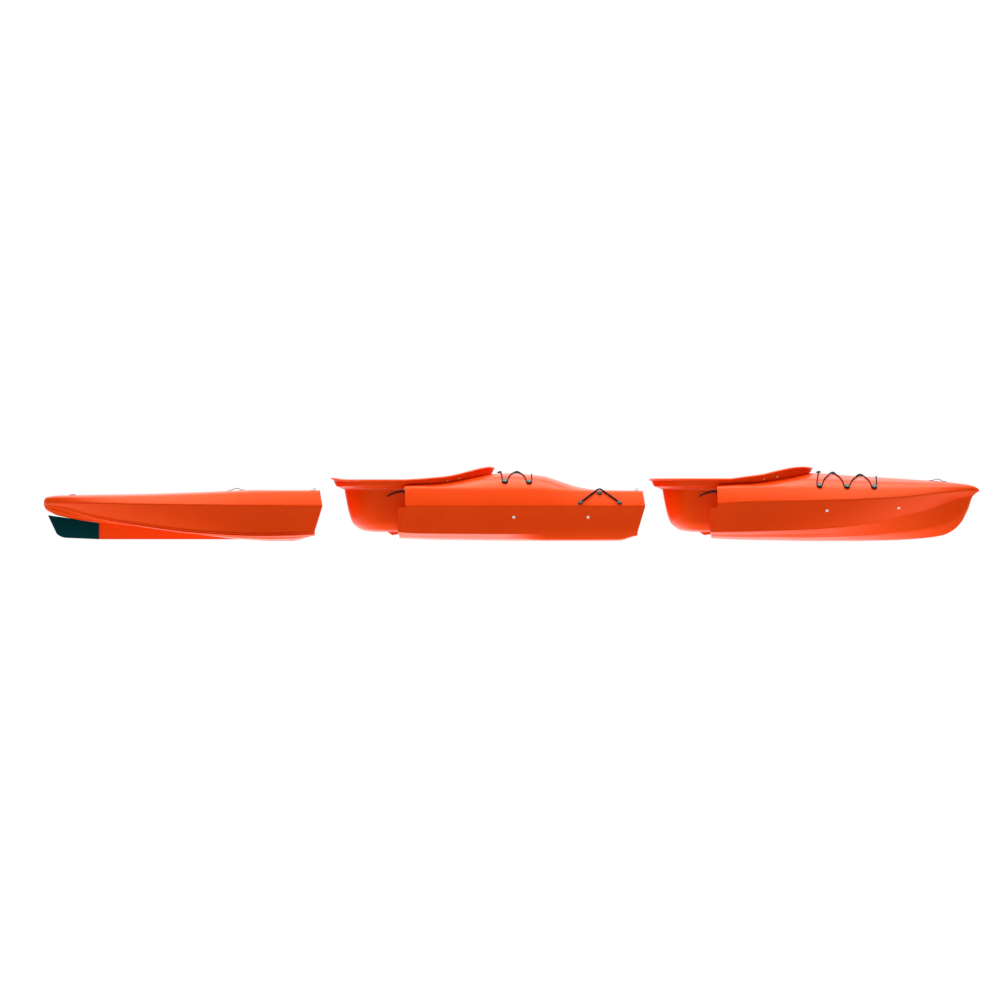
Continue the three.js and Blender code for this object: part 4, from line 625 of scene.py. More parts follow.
def tub_rings(depth, grow, front_x, top_z):
    """Level rings of the tub: half-width and reach shrink by the bilge profile towards the floor, and the back is
    half an ellipse over the last part of the reach."""
    rise = np.linspace(0, 1, 30) ** 1.8
    inset = (along(tub_profile, rise) * tub_bilge)[:, None]
    z = tub_floor + rise * (tub_top - tub_floor) - grow * (rise < 1)
    angle = np.linspace(0, math.pi / 2, 26)[None]
    half_width = tub_half_width - tub_side_share * inset + grow
    reach = depth - inset
    back_x = (tub_end_share - 1) * reach - (tub_end_share * reach + grow) * np.sin(angle)
    back_y = -half_width * np.cos(angle)
    back_y[:, -1] = 0
    half = np.stack([np.concatenate([np.full_like(inset, front_x), np.full_like(inset, front_x), back_x], 1),
                     np.concatenate([0 * inset, -half_width, back_y], 1)], 2)
    half = np.concatenate([half, np.repeat(z[:, None, None], half.shape[1], 1)], 2)
    rings = np.concatenate([half, half[:, 1:-1][:, ::-1] * np.array([1, -1, 1])], 1)
    if top_z > tub_top:
        rings = np.concatenate([rings, rings[-1:] * np.array([1, 1, 0]) + np.array([0, 0, top_z])])
    return rings


def opening_outline(depth, grow, nose_steps=34, side_steps=8, back_steps=30):
    """Plan of the cockpit opening, grown at the sides, the back and the nose: half an ellipse at each end."""
    side_grow, back_grow, nose_grow = grow
    half_width = tub_half_width + side_grow
    nose_x = opening_reach - depth - opening_nose
    back_x = (tub_end_share - 1) * depth
    a = np.linspace(0, math.pi / 2, nose_steps + 1)
    b = np.linspace(0, math.pi / 2, back_steps + 1)
    s = np.arange(1, side_steps) / side_steps
    x = np.concatenate([nose_x + (opening_nose + nose_grow) * np.cos(a), nose_x + (back_x - nose_x) * s,
                        back_x - (tub_end_share * depth + back_grow) * np.sin(b)])
    y = np.concatenate([-half_width * np.sin(a), np.full(len(s), -half_width), -half_width * np.cos(b)])
    y[0] = y[-1] = 0
    return np.concatenate([np.stack([x, y], 1), np.stack([x[1:-1][::-1], -y[1:-1][::-1]], 1)])


def prism(outline, low, high, x=0.0):
    """A plan outline between two heights."""
    rings = np.stack([np.concatenate([outline, np.full((len(outline), 1), z)], 1) for z in (low, high)])
    return solid_object("prism", rings, x)


def section_stations(hull, first=0.0, last=1.0, count=220):
    """Shares of the length, closer together towards a nose, where the lines bend most."""
    u = np.linspace(0, 1, count)
    if hull == "stern":
        u = u ** 1.5
    if hull == "bow":
        u = 1 - (1 - u) ** 1.5
    return first + (last - first) * u


def leaned_rings(hull, t, inset):
    """Cross-sections that lean back over a first and a last stretch, towards the leaning ends. The middle section
    leans at both ends, and its rings are a blend of upright and leaning ones."""
    if hull in front_lean_stretch:
        start, length = front_lean_stretch[hull]
        front = np.clip((t - start) / length, 0, 1)
    if hull in rear_lean_stretch:
        rear = np.clip(1 - t / rear_lean_stretch[hull], 0, 1)
    if hull == "stern":
        return hull_rings(hull, t, inset, 0, front_lean * front, front_lean_shares)
    if hull == "bow":
        return hull_rings(hull, t, inset, 0, rear_lean * rear, rear_lean_shares)
    plain = hull_rings(hull, t, inset)
    back = hull_rings(hull, t, inset, 0, rear_lean, rear_lean_shares)
    fore = hull_rings(hull, t, inset, 0, front_lean, front_lean_shares)
    return plain + rear[:, None, None] * (back - plain) + front[:, None, None] * (fore - plain)


def hull_outside(hull, inset=0.0):
    """The moulded outside, moved in by an inset."""
    return solid_object("hull", leaned_rings(hull, section_stations(hull), inset), section_x[hull])


def hull_hollow(hull):
    """The room inside the skin."""
    length = section_length[hull]
    first, last = {"stern": (0.05, 1 - (rebate_depth + skin) / length), "bow": (skin / length, 0.9),
                   "mid": (skin / length, 1 - (rebate_depth + skin) / length)}[hull]
    return solid_object("room", leaned_rings(hull, section_stations(hull, first, last, 70), skin), section_x[hull])


def front_end_walls(hull):
    """Skin round the socket and the wedge's notch, which the hollow leaves standing."""
    x = section_x[hull] + section_length[hull]
    outside = solid_object("walls", tub_rings(socket_depth, socket_clearance + skin, beyond, coaming_top + beyond), x)
    notch = box_solid([-notch_reach - skin, -notch_half_width - skin, notch_floor - skin],
                      [beyond, notch_half_width + skin, tub_floor], x)
    return carved(outside, join(notch))


def front_end_cuts(hull):
    """The socket, the wedge's notch and the rebate for the flange, to be cut in this order."""
    x = section_x[hull] + section_length[hull]
    socket = solid_object("socket", tub_rings(socket_depth, socket_clearance, beyond, coaming_top + beyond), x)
    notch = box_solid([-notch_reach, -notch_half_width, notch_floor], [beyond, notch_half_width, tub_floor + skin], x)
    flat = hull_rings(hull, np.array([1.0]), rebate_skin, -rebate_depth)
    both = np.concatenate([flat, flat + np.array([rebate_depth + beyond, 0, 0])])
    rebate = solid_object("rebate", both, section_x[hull])
    knuckle = float(lines_of(hull, 1.0)["knuckle"][1])
    pocket = box_solid([-rebate_depth, -half_beam, -beyond], [beyond, half_beam, knuckle], x)
    return cut(socket, notch, carved(rebate, keep(pocket)))


def rear_end(hull):
    """Tub, wedge and flange behind a section, joined in this order."""
    x = section_x[hull]
    tub = solid_object("tub", tub_rings(tub_depth[hull], 0, beyond, tub_top), x)
    top, bottom = tub_floor + skin / 2, notch_floor + wedge_clearance
    wedge = side_solid([(-wedge_end, top), (-wedge_tip, bottom), (-wedge_start, bottom + skin),
                        (beyond, bottom + skin), (beyond, top)],
                       -notch_half_width + wedge_clearance, notch_half_width - wedge_clearance, x)
    outer = rebate_skin + flange_clearance

    def band(inset):
        ring = hull_rings("stern", np.array([1.0]), inset) * np.array([0, 1, 1])
        ends = [ring + np.array([place, 0, 0]) for place in (-flange_reach, rear_lean)]
        return solid_object("band", np.concatenate(ends), x)

    level = float(lines_of("stern", 1.0)["knuckle"][1]) - outer
    below = box_solid([-half_beam, -half_beam, -beyond], [half_beam, half_beam, level], x)
    return join(tub, wedge, carved(band(outer), cut(band(outer + flange_wall)) + keep(below)))


def cockpit_room(hull):
    """The tub's hollow and the opening through the deck, as one solid to cut away."""
    x = section_x[hull]
    well = solid_object("well", tub_rings(tub_depth[hull], -skin, beyond, coaming_top + beyond), x)
    deck_level = float(lines_of(hull, 0.0)["knuckle"][1])
    opening = prism(opening_outline(tub_depth[hull], (-skin, -skin, -skin)), deck_level, coaming_top + beyond, x)
    ahead = box_solid([opening_back, -half_beam, 0], [opening_reach, half_beam, coaming_top + 2 * beyond], x)
    return carved(well, join(carved(opening, keep(ahead))))


for hull in section_x:
    walls = cut(front_end_walls(hull)) if hull != "bow" else []
    cockpit = join(cockpit_room(hull)) if hull != "stern" else []
    steps = rear_end(hull) if hull != "stern" else []
    steps += cut(carved(hull_hollow(hull), walls + cockpit))
    if hull == "stern":
        steps += join(side_solid(fin_outline, -fin_half, fin_half, section_x[hull]))
    if hull != "bow":
        steps += front_end_cuts(hull)
    shell = carved(hull_outside(hull), steps)
    shell.name = f"{hull}_shell"
    finish_piece(shell, hull, [f"{hull}_hull"], orange_shell)

# Coamings.
# Each cockpit has a rim of the same plastic round its opening: a lip that rolls outwards for the spray deck, a
# groove under it and a skirt that sits on the deck and on the tub. Small brass screws hold its rising front.
rim_overhang = 0.045
rear_overhang = 0.070
nose_overhang = 0.028
roll_depth = 0.010
groove_depth = 0.022
skirt_bottom = 0.284
skirt_rise = 0.005
coaming_bury = 0.014
top_round = 0.004
coaming_outs = [0, 0, 0.12, 0.86, 1, 1, 0.8, 0.78, 0.62, 0.25, 0.2]
coaming_radii = [0, 0.003, 0.004, 0.005, 0.005, 0.0045, 0.002, 0.004, 0.003, 0.002, 0]
coaming_top_lines = {
    "mid": [(0, 0.86), (0.09, 0.828), (0.44, 0.828), (0.513, 0.835), (0.629, 0.855), (0.709, 0.873), (0.785, 0.907),
            (0.864, 0.953), (0.923, 0.984), (0.973, 1), (1, 0.992)],
    "bow": [(0, 0.842), (0.5, 0.842), (0.527, 0.85), (0.594, 0.87), (0.693, 0.9), (0.79, 0.951), (0.889, 0.993),
            (0.94, 1), (1, 0.99)],
}


def coaming_loop(hull, out):
    """Plan of the coaming's outline at a share of its overhang."""
    grow = [out * (over + skin) - skin for over in (rim_overhang, rear_overhang, nose_overhang)]
    return opening_outline(tub_depth[hull], grow, 64, 16, 54)


def coaming_heights(hull, c, x, y):
    """Heights of one corner of the coaming's profile, numbered from the inner bottom edge over the top."""
    back = -tub_depth[hull] - rear_overhang
    length = opening_reach - tub_depth[hull] + nose_overhang - back
    top = coaming_top * along(coaming_top_lines[hull], (x - back) / length)
    deck = deck_z(hull, x, y)
    sunk = np.where(x < 0, tub_top + seam, np.maximum(tub_top + seam, deck - coaming_bury))
    skirt = np.where(x < 0, skirt_bottom, np.maximum(skirt_bottom, deck + skirt_rise))
    return [sunk, top - top_round, top, top, top - roll_depth / 2, top - roll_depth, top - roll_depth - top_round,
            top - groove_depth, skirt, sunk + top_round, sunk][c]


def closed_band(name, rows, x=0.0):
    """A ring-shaped object: rows of profile points, each joined to the next and the last to the first."""
    count, width = rows.shape[:2]
    i, j = np.meshgrid(np.arange(count), np.arange(width), indexing="ij")
    k, m = (i + 1) % count, (j + 1) % width
    quads = np.stack([i * width + j, k * width + j, k * width + m, i * width + m], -1).reshape(-1, 4)
    return made_object(name, rows, [quads], x)


def lathe_part(profile, frame, sides=24, lobes=0, lobe_depth=0.0):
    """A turned solid: radius and height pairs, the first and the last on the axis, spun about the frame's Z."""
    radius, height = np.array(profile[1:-1], float).T
    angle = np.arange(sides) * 2 * math.pi / sides
    swell = 1 - lobe_depth * (0.5 - 0.5 * np.cos(lobes * angle))
    ring = np.stack([np.outer(radius, np.cos(angle) * swell), np.outer(radius, np.sin(angle) * swell),
                     np.repeat(height[:, None], sides, 1)], -1).reshape(-1, 3)
    points = np.concatenate([ring, [[0, 0, profile[0][1]], [0, 0, profile[-1][1]]]])
    return placed(points, turned_faces(len(radius), sides), frame)


def placed(points, faces, frame):
    """Points moved by a 4 x 4 frame, with their faces turned outwards."""
    moved = np.asarray(points, float) @ frame[:3, :3].T + frame[:3, 3]
    return moved, facing_out(moved, faces)


def joined(name, *parts):
    """One object of several parts, each a list of points and its faces."""
    faces, base = [], 0
    for points, part_faces in parts:
        faces += [block + base for block in part_faces]
        base += len(points)
    return linked(name, mesh_from(name, np.concatenate([part[0] for part in parts]), faces))


def frame_at(point, normal):
    """A 4 x 4 frame at a point, its Z along a normal and its X as near the bow as it can be."""
    z = np.array(normal, float) / np.linalg.norm(normal)
    y = np.cross(z, [1, 0, 0])
    y /= np.linalg.norm(y)
    frame = np.eye(4)
    frame[:3, :3] = np.stack([np.cross(y, z), y, z], 1)
    frame[:3, 3] = point
    return frame


def deck_frame(hull, x, y):
    """A frame on a section's deck, in the whole kayak's coordinates."""
    step = 0.003
    slope_x = (deck_z(hull, x + step, y) - deck_z(hull, x - step, y)) / (2 * step)
    slope_y = (deck_z(hull, x, y + step) - deck_z(hull, x, y - step)) / (2 * step)
    return frame_at([x + section_x[hull], y, float(deck_z(hull, x, y))], [-float(slope_x), -float(slope_y), 1])


def side_frame(hull, x, z, low, high, side=-1):
    """A frame on a hull's side between two of its long lines, on the starboard side or, for side 1, to port."""
    def point(px, pz):
        line = lines_of(hull, px / section_length[hull])
        share = (pz - line[low][1]) / (line[high][1] - line[low][1])
        return np.array([px, side * float(line[low][0] + share * (line[high][0] - line[low][0])), pz])

    step = 0.003
    run = point(x + step, z) - point(x - step, z)
    rise = point(x, z + step) - point(x, z - step)
    return frame_at(point(x, z) + [section_x[hull], 0, 0], -side * np.cross(run, rise))


def screw_part(frame, radius, height):
    """A pan head with a hexagon socket."""
    return lathe_part([(0, -0.001), (radius, -0.001), (radius, 0.45 * height), (0.8 * radius, 0.9 * height),
                       (0.5 * radius, height), (0.46 * radius, 0.95 * height), (0.44 * radius, 0.4 * height),
                       (0, 0.4 * height)], frame, 24)


brass = moulded_plastic("brass", (0.52, 0.36, 0.10), (0.62, 0.45, 0.16), (0.7, 0.55, 0.3), (0.22, 0.34),
                        mottle=0.01, scuff=(0.01, 0.0), metallic=1.0)
coaming_screw_places = {"mid": (0.2187, 0.2785), "bow": (0.2409, 0.3091)}
skirt_corner, groove_corner = 8, 7
for hull in ("mid", "bow"):
    loops = [coaming_loop(hull, out) for out in coaming_outs]
    rows = np.stack([np.column_stack([loop, coaming_heights(hull, c, loop[:, 0], loop[:, 1])])
                     for c, loop in enumerate(loops)], 1)
    coaming = closed_band(f"{hull}_rim", rounded_rings(rows, coaming_radii), section_x[hull])
    carved(coaming, cut(hull_outside(hull, -seam)))
    finish_piece(coaming, hull, [f"{hull}_coaming"], orange_shell, 32)
    heads = []
    for x in coaming_screw_places[hull]:
        for side in (-1, 1):
            ends = []
            for c in (skirt_corner, groove_corner):
                half = loops[c][:len(loops[c]) // 2 + 1]
                y = side * abs(float(np.interp(-x, -half[:, 0], half[:, 1])))
                ends.append(np.array([x, y, float(coaming_heights(hull, c, np.array(x), np.array(y)))]))
            up = ends[1] - ends[0]
            across = np.array([0.25, side, 0])
            normal = across - up * (across @ up) / (up @ up)
            heads.append(screw_part(frame_at(ends[0] + 0.5 * up + [section_x[hull], 0, 0], normal), 0.0055, 0.003))
    finish_piece(joined(f"{hull}_rim_screws", *heads), hull, [], brass)

# Skeg.
# A thick block of dark green-black rubber bolted behind the stern's own keel fin, with its heel rounded off.
skeg_half = 0.017
skeg_outline = [(0.021, 0.134), (0.068, 0.034), (0.099, 0.017), (0.2867, 0.009), (0.2867, 0.097)]
skeg_radii = [0, 0.012, 0.022, 0.003, 0]


def softened(piece, width, segments=3, angle=35):
    """The piece with its sharp edges rounded."""
    soft = piece.modifiers.new("soft", "BEVEL")
    soft.width, soft.segments = width, segments
    soft.limit_method, soft.angle_limit = "ANGLE", math.radians(angle)
    return applied(piece)


def rounded_outline(outline, radii, steps=7):
    """A flat outline with its corners rounded to their radii."""
    flat = np.array([[(0, x, z) for x, z in outline]], float)
    return [(x, z) for _, x, z in rounded_rings(flat, radii, steps)[0]]


skeg_rubber = moulded_plastic("skeg_rubber", (0.0004, 0.018, 0.020), (0.0008, 0.025, 0.028), (0.03, 0.06, 0.06),
                              (0.5, 0.62), peel=0.0022, peel_depth=0.0001, mottle=0.12, scuff=(0.03, 0.35),
                              specular=0.2, shine_tint=(0.02, 0.35, 0.38))
skeg = side_solid(rounded_outline(skeg_outline, skeg_radii), -skeg_half, skeg_half, section_x["stern"], "skeg_block")
softened(carved(skeg, cut(hull_outside("stern", -seam))), 0.0025)
finish_piece(skeg, "stern", ["skeg"], skeg_rubber)

# Metals.
# Stainless steel fittings and anodised alloy rails, with fine marks of drawing along X and smudges.


def drawn_metal(name, tint, roughness, grain=0.0004):
    """Metal paint: streaks along X in the gloss and in the surface, and a slow change of tint."""
    paint, shader, add, _ = painted(name)
    place = add("TexCoord").outputs["Object"]
    along_x = add("Mapping", {"Vector": place, "Scale": (0.04, 1, 1)}).outputs["Vector"]
    streak = add("TexNoise", {"Vector": along_x, "Scale": 1 / grain, "Detail": 2}).outputs["Fac"]
    smudge = add("TexNoise", {"Vector": place, "Scale": 60}).outputs["Fac"]
    feed(shader, {"Base Color": between(add, smudge, [0.82 * value for value in tint], tint), "Metallic": 1.0,
                  "Roughness": ranged(add, streak, roughness), "Normal": bumped(add, streak, 0.00002)})
    return paint


stainless = drawn_metal("stainless", (0.72, 0.70, 0.66), (0.2, 0.32))
dull_steel = drawn_metal("dull_steel", (0.09, 0.20, 0.15), (0.4, 0.55))
rail_alloy = drawn_metal("rail_alloy", (0.45, 0.46, 0.48), (0.32, 0.45))
black_plastic = moulded_plastic("black_plastic", (0.012, 0.0125, 0.013), (0.016, 0.0165, 0.017), (0.05, 0.05, 0.05),
                                (0.38, 0.5), peel=0.0007, peel_depth=0.00004, mottle=0.06, scuff=(0.02, 0.2))
strap_rubber = moulded_plastic("strap_rubber", (0.010, 0.010, 0.0105), (0.014, 0.014, 0.0145), (0.05, 0.05, 0.05),
                               (0.55, 0.68), peel=0.001, peel_depth=0.00004, mottle=0.05, scuff=(0.02, 0.2),
                               specular=0.15)

# Skeg screws and drain plug.
# Two recessed screws go through the skeg on each side, and a lobed plug closes the drain on the stern's deck.
both_sides = ((-1, "right"), (1, "left"))
skeg_screw_places, skeg_screw_depth = ((0.135, 0.052), (0.245, 0.046)), 0.0012
skeg_heads = [screw_part(frame_at([x + section_x["stern"], side * (skeg_half - skeg_screw_depth), z], [0, side, 0]),
                         0.0045, 0.0012) for x, z in skeg_screw_places for side, _ in both_sides]
finish_piece(joined("skeg_screws", *skeg_heads), "stern", [], stainless)

drain_x = 0.150
drain_place = deck_frame("stern", drain_x, 0)
stopper = lathe_part([(0, -0.016), (0.0105, -0.016), (0.0117, -0.014), (0.0117, 0.0012), (0, 0.0012)], drain_place, 32)
head = lathe_part([(0, 0.0002), (0.0168, 0.0002), (0.0170, 0.0022), (0.0150, 0.0036), (0.0112, 0.0038),
                   (0.0105, 0.0024), (0, 0.0024)], drain_place, 60, 10, 0.08)
grip = placed(*box_part([-0.0098, -0.0016, 0.0020], [0.0098, 0.0016, 0.0038]), drain_place)
finish_piece(joined("plug", stopper, head, grip), "stern", ["drain_plug"], black_plastic)

# Carry handles.
# A flat woven strap arches between two screwed feet on the centreline, at the stern and at the bow.
handle_length, handle_thickness, handle_rise, handle_half = 0.088, 0.0032, 0.009, 0.0125
handle_foot_share = 0.17
handle_places = {"stern": 1.001, "bow": 1.146}


def strip_part(middle_line, half_width, thickness, round_radius):
    """A flat strap whose underside follows a line of points in X and Z, with rounded edges, and thickness up."""
    line = np.array(middle_line, float)
    tangent = np.gradient(line, axis=0)
    tangent /= np.linalg.norm(tangent, axis=1, keepdims=True)
    normal = np.stack([-tangent[:, 1], tangent[:, 0]], 1)
    section = rounded_rings(np.array([[(0, -half_width, 0), (0, half_width, 0), (0, half_width, thickness),
                                       (0, -half_width, thickness)]], float), [round_radius] * 4, 5)[0]
    rings = np.stack([np.column_stack([line[:, 0] + h * normal[:, 0], np.full(len(line), y),
                                       line[:, 1] + h * normal[:, 1]]) for _, y, h in section], 1)
    points = rings.reshape(-1, 3)
    return points, facing_out(points, tube_faces(len(line), len(section)))


def woven_height(add, work, waves):
    """The product of two sine waves, brought to the span from 0 to 1."""
    first, second = (work("SINE", wave) for wave in waves)
    return add("MapRange", {"Value": work("MULTIPLY", first, second), "From Min": -1}).outputs["Result"]


def webbing_group():
    """Woven strap: a fine twill of two sets of ribs that lean to either side of the strap's length, as a height."""
    group, add, work, given = group_of("webbing", {"Pitch": 0.0015}, ("Height",))
    split = add("SeparateXYZ", {0: add("TexCoord").outputs["Object"]}).outputs
    rate = work("DIVIDE", 2 * math.pi, given["Pitch"])
    waves = [work("MULTIPLY", work("MULTIPLY_ADD", split["Y"], lean, split["X"]), rate) for lean in (1, -1)]
    add("NodeGroupOutput", {"Height": woven_height(add, work, waves)})
    return group


webbing = webbing_group()


def cloth(paint, shader, add, height, tints, depth, more):
    """The paint with two tints mixed by a weave's height, the darker tint in the weave's hollows as painted shade, and
    the same height in the surface.
    """
    # Painted shade: the first tint goes where the weave's height is low, in its hollows.
    feed(shader, {"Base Color": between(add, height, *tints), "Normal": bumped(add, height, depth), **more})
    return paint


def woven(name, dark, light, pitch, depth, roughness, sheen=0.1):
    """Cloth paint of the webbing's weave, darker in the weave's hollows as painted shade."""
    paint, shader, add, _ = painted(name)
    height = add("Group", {"Pitch": pitch}, node_tree=webbing).outputs["Height"]
    # The dark tint lies in the weave's hollows as painted shade.
    return cloth(paint, shader, add, height, (dark, light), depth, {"Roughness": roughness, "Sheen Weight": sheen})


black_webbing = woven("black_webbing", (0.004, 0.004, 0.0045), (0.014, 0.014, 0.015), 0.0016, 0.0003, 0.8, 0.02)
for hull, middle in handle_places.items():
    share = np.linspace(0, 1, 60)
    x = middle + (share - 0.5) * handle_length
    inside = np.clip((share - handle_foot_share) / (1 - 2 * handle_foot_share), 0, 1)
    z = deck_z(hull, x, 0 * x) + 0.0004 + handle_rise * np.sin(math.pi * inside) ** 1.3
    strap = strip_part(np.stack([x + section_x[hull], z], 1), handle_half, handle_thickness, 0.0015)
    finish_piece(joined(f"{hull}_carry_strap", strap), hull, [f"{hull}_handle"], black_webbing)
    heads = []
    for reach in (-0.5, 0.5):
        foot = deck_frame(hull, middle + reach * handle_length * (1 - handle_foot_share), 0)
        foot[:3, 3] += foot[:3, 2] * handle_thickness
        heads.append(screw_part(foot, 0.0052, 0.0024))
    finish_piece(joined(f"{hull}_strap_screws", *heads), hull, [], stainless)

# Deck hooks.
# A bent stainless hook stands on each side of an open end, for the joining strap of the section in front.
hook_setback, hook_span_share, hook_half = 0.047, 0.95, 0.005
for hull in ("stern", "mid"):
    x = section_length[hull] - hook_setback
    y = hook_span_share * float(lines_of(hull, 1.0)["shoulder"][0])
    z = float(deck_z(hull, x, y))
    outline = rounded_outline([(-0.012, -0.005), (0.012, -0.005), (0.012, 0.014), (-0.005, 0.014), (-0.005, 0.0105),
                               (0.007, 0.009), (0.007, 0.005), (-0.012, 0.005)],
                              [0, 0, 0.005, 0.001, 0.001, 0.0025, 0.0025, 0.002], 5)
    for side, tag in both_sides:
        low, high = sorted((side * (y - hook_half), side * (y + hook_half)))
        hook = side_solid([(x + px, z + pz) for px, pz in outline], low, high, section_x[hull],
                          f"{hull}_strap_hook_{tag}")
        softened(carved(hook, cut(hull_outside(hull, -seam))), 0.0007, 2)
        finish_piece(hook, hull, [f"{hull}_hook_{tag}"], stainless)

# Joining straps.
# A short rubber strap hangs from the end wall beside each side of the tub, with a thicker foot and a nub.
strap_line = [(0, 0), (0.25, 0.03), (0.5, 0.2), (0.75, 0.5), (1, 1)]
strap_length, strap_drop, strap_height, strap_root = 0.096, 0.027, 0.009, 0.262
strap_thickness, strap_spacing = 0.004, 0.003
for hull in ("mid", "bow"):
    share = np.linspace(0, 1, 24)
    upper = [(-s * strap_length, strap_root - float(along(strap_line, s)) * strap_drop) for s in share]
    lower = [(px, pz - strap_height) for px, pz in upper]
    tip = rounded_outline([upper[-2], upper[-1], lower[-1], lower[-2]], [0, 0.004, 0.004, 0])[1:-1]
    outline = [(0.015, strap_root)] + upper[:-1] + tip + lower[:-1][::-1] + [(0.015, strap_root - strap_height)]
    for side, tag in both_sides:
        near = side * (tub_half_width + strap_spacing)
        low, high = sorted((near, near + side * strap_thickness))
        strap = side_solid(outline, low, high, section_x[hull], f"{hull}_rubber_strap_{tag}")
        foot = box_solid([-0.007, low, strap_root - 0.022], [0.015, high, strap_root], section_x[hull])
        softened(carved(strap, join(foot) + cut(hull_outside(hull, -seam))), 0.0008, 2)
        finish_piece(strap, hull, [f"{hull}_joining_strap_{tag}"], strap_rubber)

# Deck buttons.
# Rows of round black posts with wide domed caps stand in front of each coaming, each held by a steel screw.
post_radius, cap_radius, cap_thickness = 0.008, 0.0135, 0.003
bungee_radius, bungee_lift = 0.00325, 0.0008
button_height = bungee_lift + 2 * bungee_radius + 0.0012 + cap_thickness
button_rows = {"mid": ([0.517, 0.643], 0.88), "bow": ([0.528, 0.670, 0.812], 0.965)}


def button_places(hull):
    """Places of a section's deck buttons, to starboard of the centreline."""
    xs, span = button_rows[hull]
    return [(x, span * float(lines_of(hull, x / section_length[hull])["shoulder"][0])) for x in xs]


for hull in ("mid", "bow"):
    heads = []
    for row, (x, y) in enumerate(button_places(hull)):
        for side, tag in both_sides:
            place = deck_frame(hull, x, side * y)
            low = button_height - cap_thickness
            body = lathe_part([(0, -0.004), (0.0105, -0.004), (0.0105, 0.0004), (0.0086, 0.0016), (post_radius, 0.003),
                               (post_radius, low - 0.0004), (0.0086, low), (0.0127, low), (cap_radius, low + 0.0007),
                               (0.0132, low + 0.0018), (0.0108, button_height - 0.0004), (0.0074, button_height),
                               (0.0055, button_height), (0.0052, button_height - 0.0011), (0, button_height - 0.0011)],
                              place, 40)
            finish_piece(joined(f"{hull}_button_{row + 1}_{tag}", body), hull,
                         [f"{hull}_deck_button_{row + 1}_{tag}"], black_plastic)
            place = place.copy()
            place[:3, 3] += place[:3, 2] * (button_height - 0.0011)
            heads.append(screw_part(place, 0.0046, 0.0013))
    finish_piece(joined(f"{hull}_button_screws", *heads), hull, [], dull_steel)

# Bungees.
# One braided shock cord on each section runs round its buttons in a zigzag and is knotted on the centreline.
# Where two legs cross, the one that runs forward climbs over the other.
bungee_routes = {"mid": [(0, -1), (1, 1), (1, -1), (0, 1)], "bow": [(0, -1), (1, 1), (2, -1), (2, 1), (1, -1), (0, 1)]}
knot_back = {"mid": 0.025, "bow": 0.0}
bungee_slack = 0.0018


def laced(stops, bend_step=math.radians(9)):
    """Plan of a cord laced round posts: legs that touch a circle about each post, and the bends between them.
    Each stop is a place and the circle's radius, which is nought at an end."""
    at = [np.array(place, float) for place, _ in stops]
    radius = [reach for _, reach in stops]
    cross = [1] + [np.sign(np.cross(at[i] - at[i - 1], at[i + 1] - at[i])) for i in range(1, len(at) - 1)] + [1]
    legs = []
    for i in range(len(at) - 1):
        span = at[i + 1] - at[i]
        side = cross[i + 1] * radius[i + 1] - cross[i] * radius[i]
        angle = math.atan2(span[1], span[0]) - math.asin(side / np.linalg.norm(span))
        left = np.array([-math.sin(angle), math.cos(angle)])
        legs.append((at[i] - left * cross[i] * radius[i], at[i + 1] - left * cross[i + 1] * radius[i + 1]))
    bends = []
    for i in range(1, len(at) - 1):
        begin, end = (math.atan2(*(point - at[i])[::-1]) for point in (legs[i - 1][1], legs[i][0]))
        sweep = (cross[i] * (end - begin)) % (2 * math.pi)
        steps = max(2, int(sweep / bend_step))
        turn = begin + cross[i] * sweep * np.linspace(0, 1, steps + 1)[1:-1]
        bends.append((at[i], radius[i] * np.stack([np.cos(turn), np.sin(turn)], 1)))
    return legs, bends


def tube_part(path, radius, sides=14):
    """A round cord along a path of points, with domed ends. Also gives, for each point, the length along the cord
    and the cosine and sine of the angle round it, for the braid."""
    path = np.asarray(path, float)
    tangent = np.gradient(path, axis=0)
    tangent /= np.linalg.norm(tangent, axis=1, keepdims=True)
    start = np.cross(tangent[0], [0.1, 0.2, 1])
    normals = [start / np.linalg.norm(start)]
    for t in tangent[1:]:
        follow = normals[-1] - t * (normals[-1] @ t)
        normals.append(follow / np.linalg.norm(follow))
    normal = np.array(normals)
    binormal = np.cross(tangent, normal)
    length = np.concatenate([[0], np.cumsum(np.linalg.norm(np.diff(path, axis=0), axis=1))])
    dome = np.array([(0.97, 0.25), (0.78, 0.62), (0.43, 0.9)])
    rows = []
    for shrink, reach in dome[::-1]:
        rows.append((path[0] - tangent[0] * reach * radius, normal[0], binormal[0], shrink, 0.0))
    for i in range(len(path)):
        rows.append((path[i], normal[i], binormal[i], 1.0, length[i]))
    for shrink, reach in dome:
        rows.append((path[-1] + tangent[-1] * reach * radius, normal[-1], binormal[-1], shrink, length[-1]))
    angle = np.arange(sides) * 2 * math.pi / sides
    points, lay = [], []
    for place, u, v, shrink, s in rows:
        points.append(place + shrink * radius * (np.outer(np.cos(angle), u) + np.outer(np.sin(angle), v)))
        lay.append(np.stack([np.full(sides, s), np.cos(angle), np.sin(angle)], 1))
    points = np.concatenate(points)
    return points, facing_out(points, tube_faces(len(rows), sides)), np.concatenate(lay)


def cord_object(name, paths, radius):
    """One object of several round cords, with the braid's coordinates stored on its points."""
    tubes = [tube_part(path, radius) for path in paths]
    made = joined(name, *(tube[:2] for tube in tubes))
    lay = made.data.attributes.new("lay", "FLOAT_VECTOR", "POINT")
    lay.data.foreach_set("vector", np.concatenate([tube[2] for tube in tubes]).ravel())
    return made


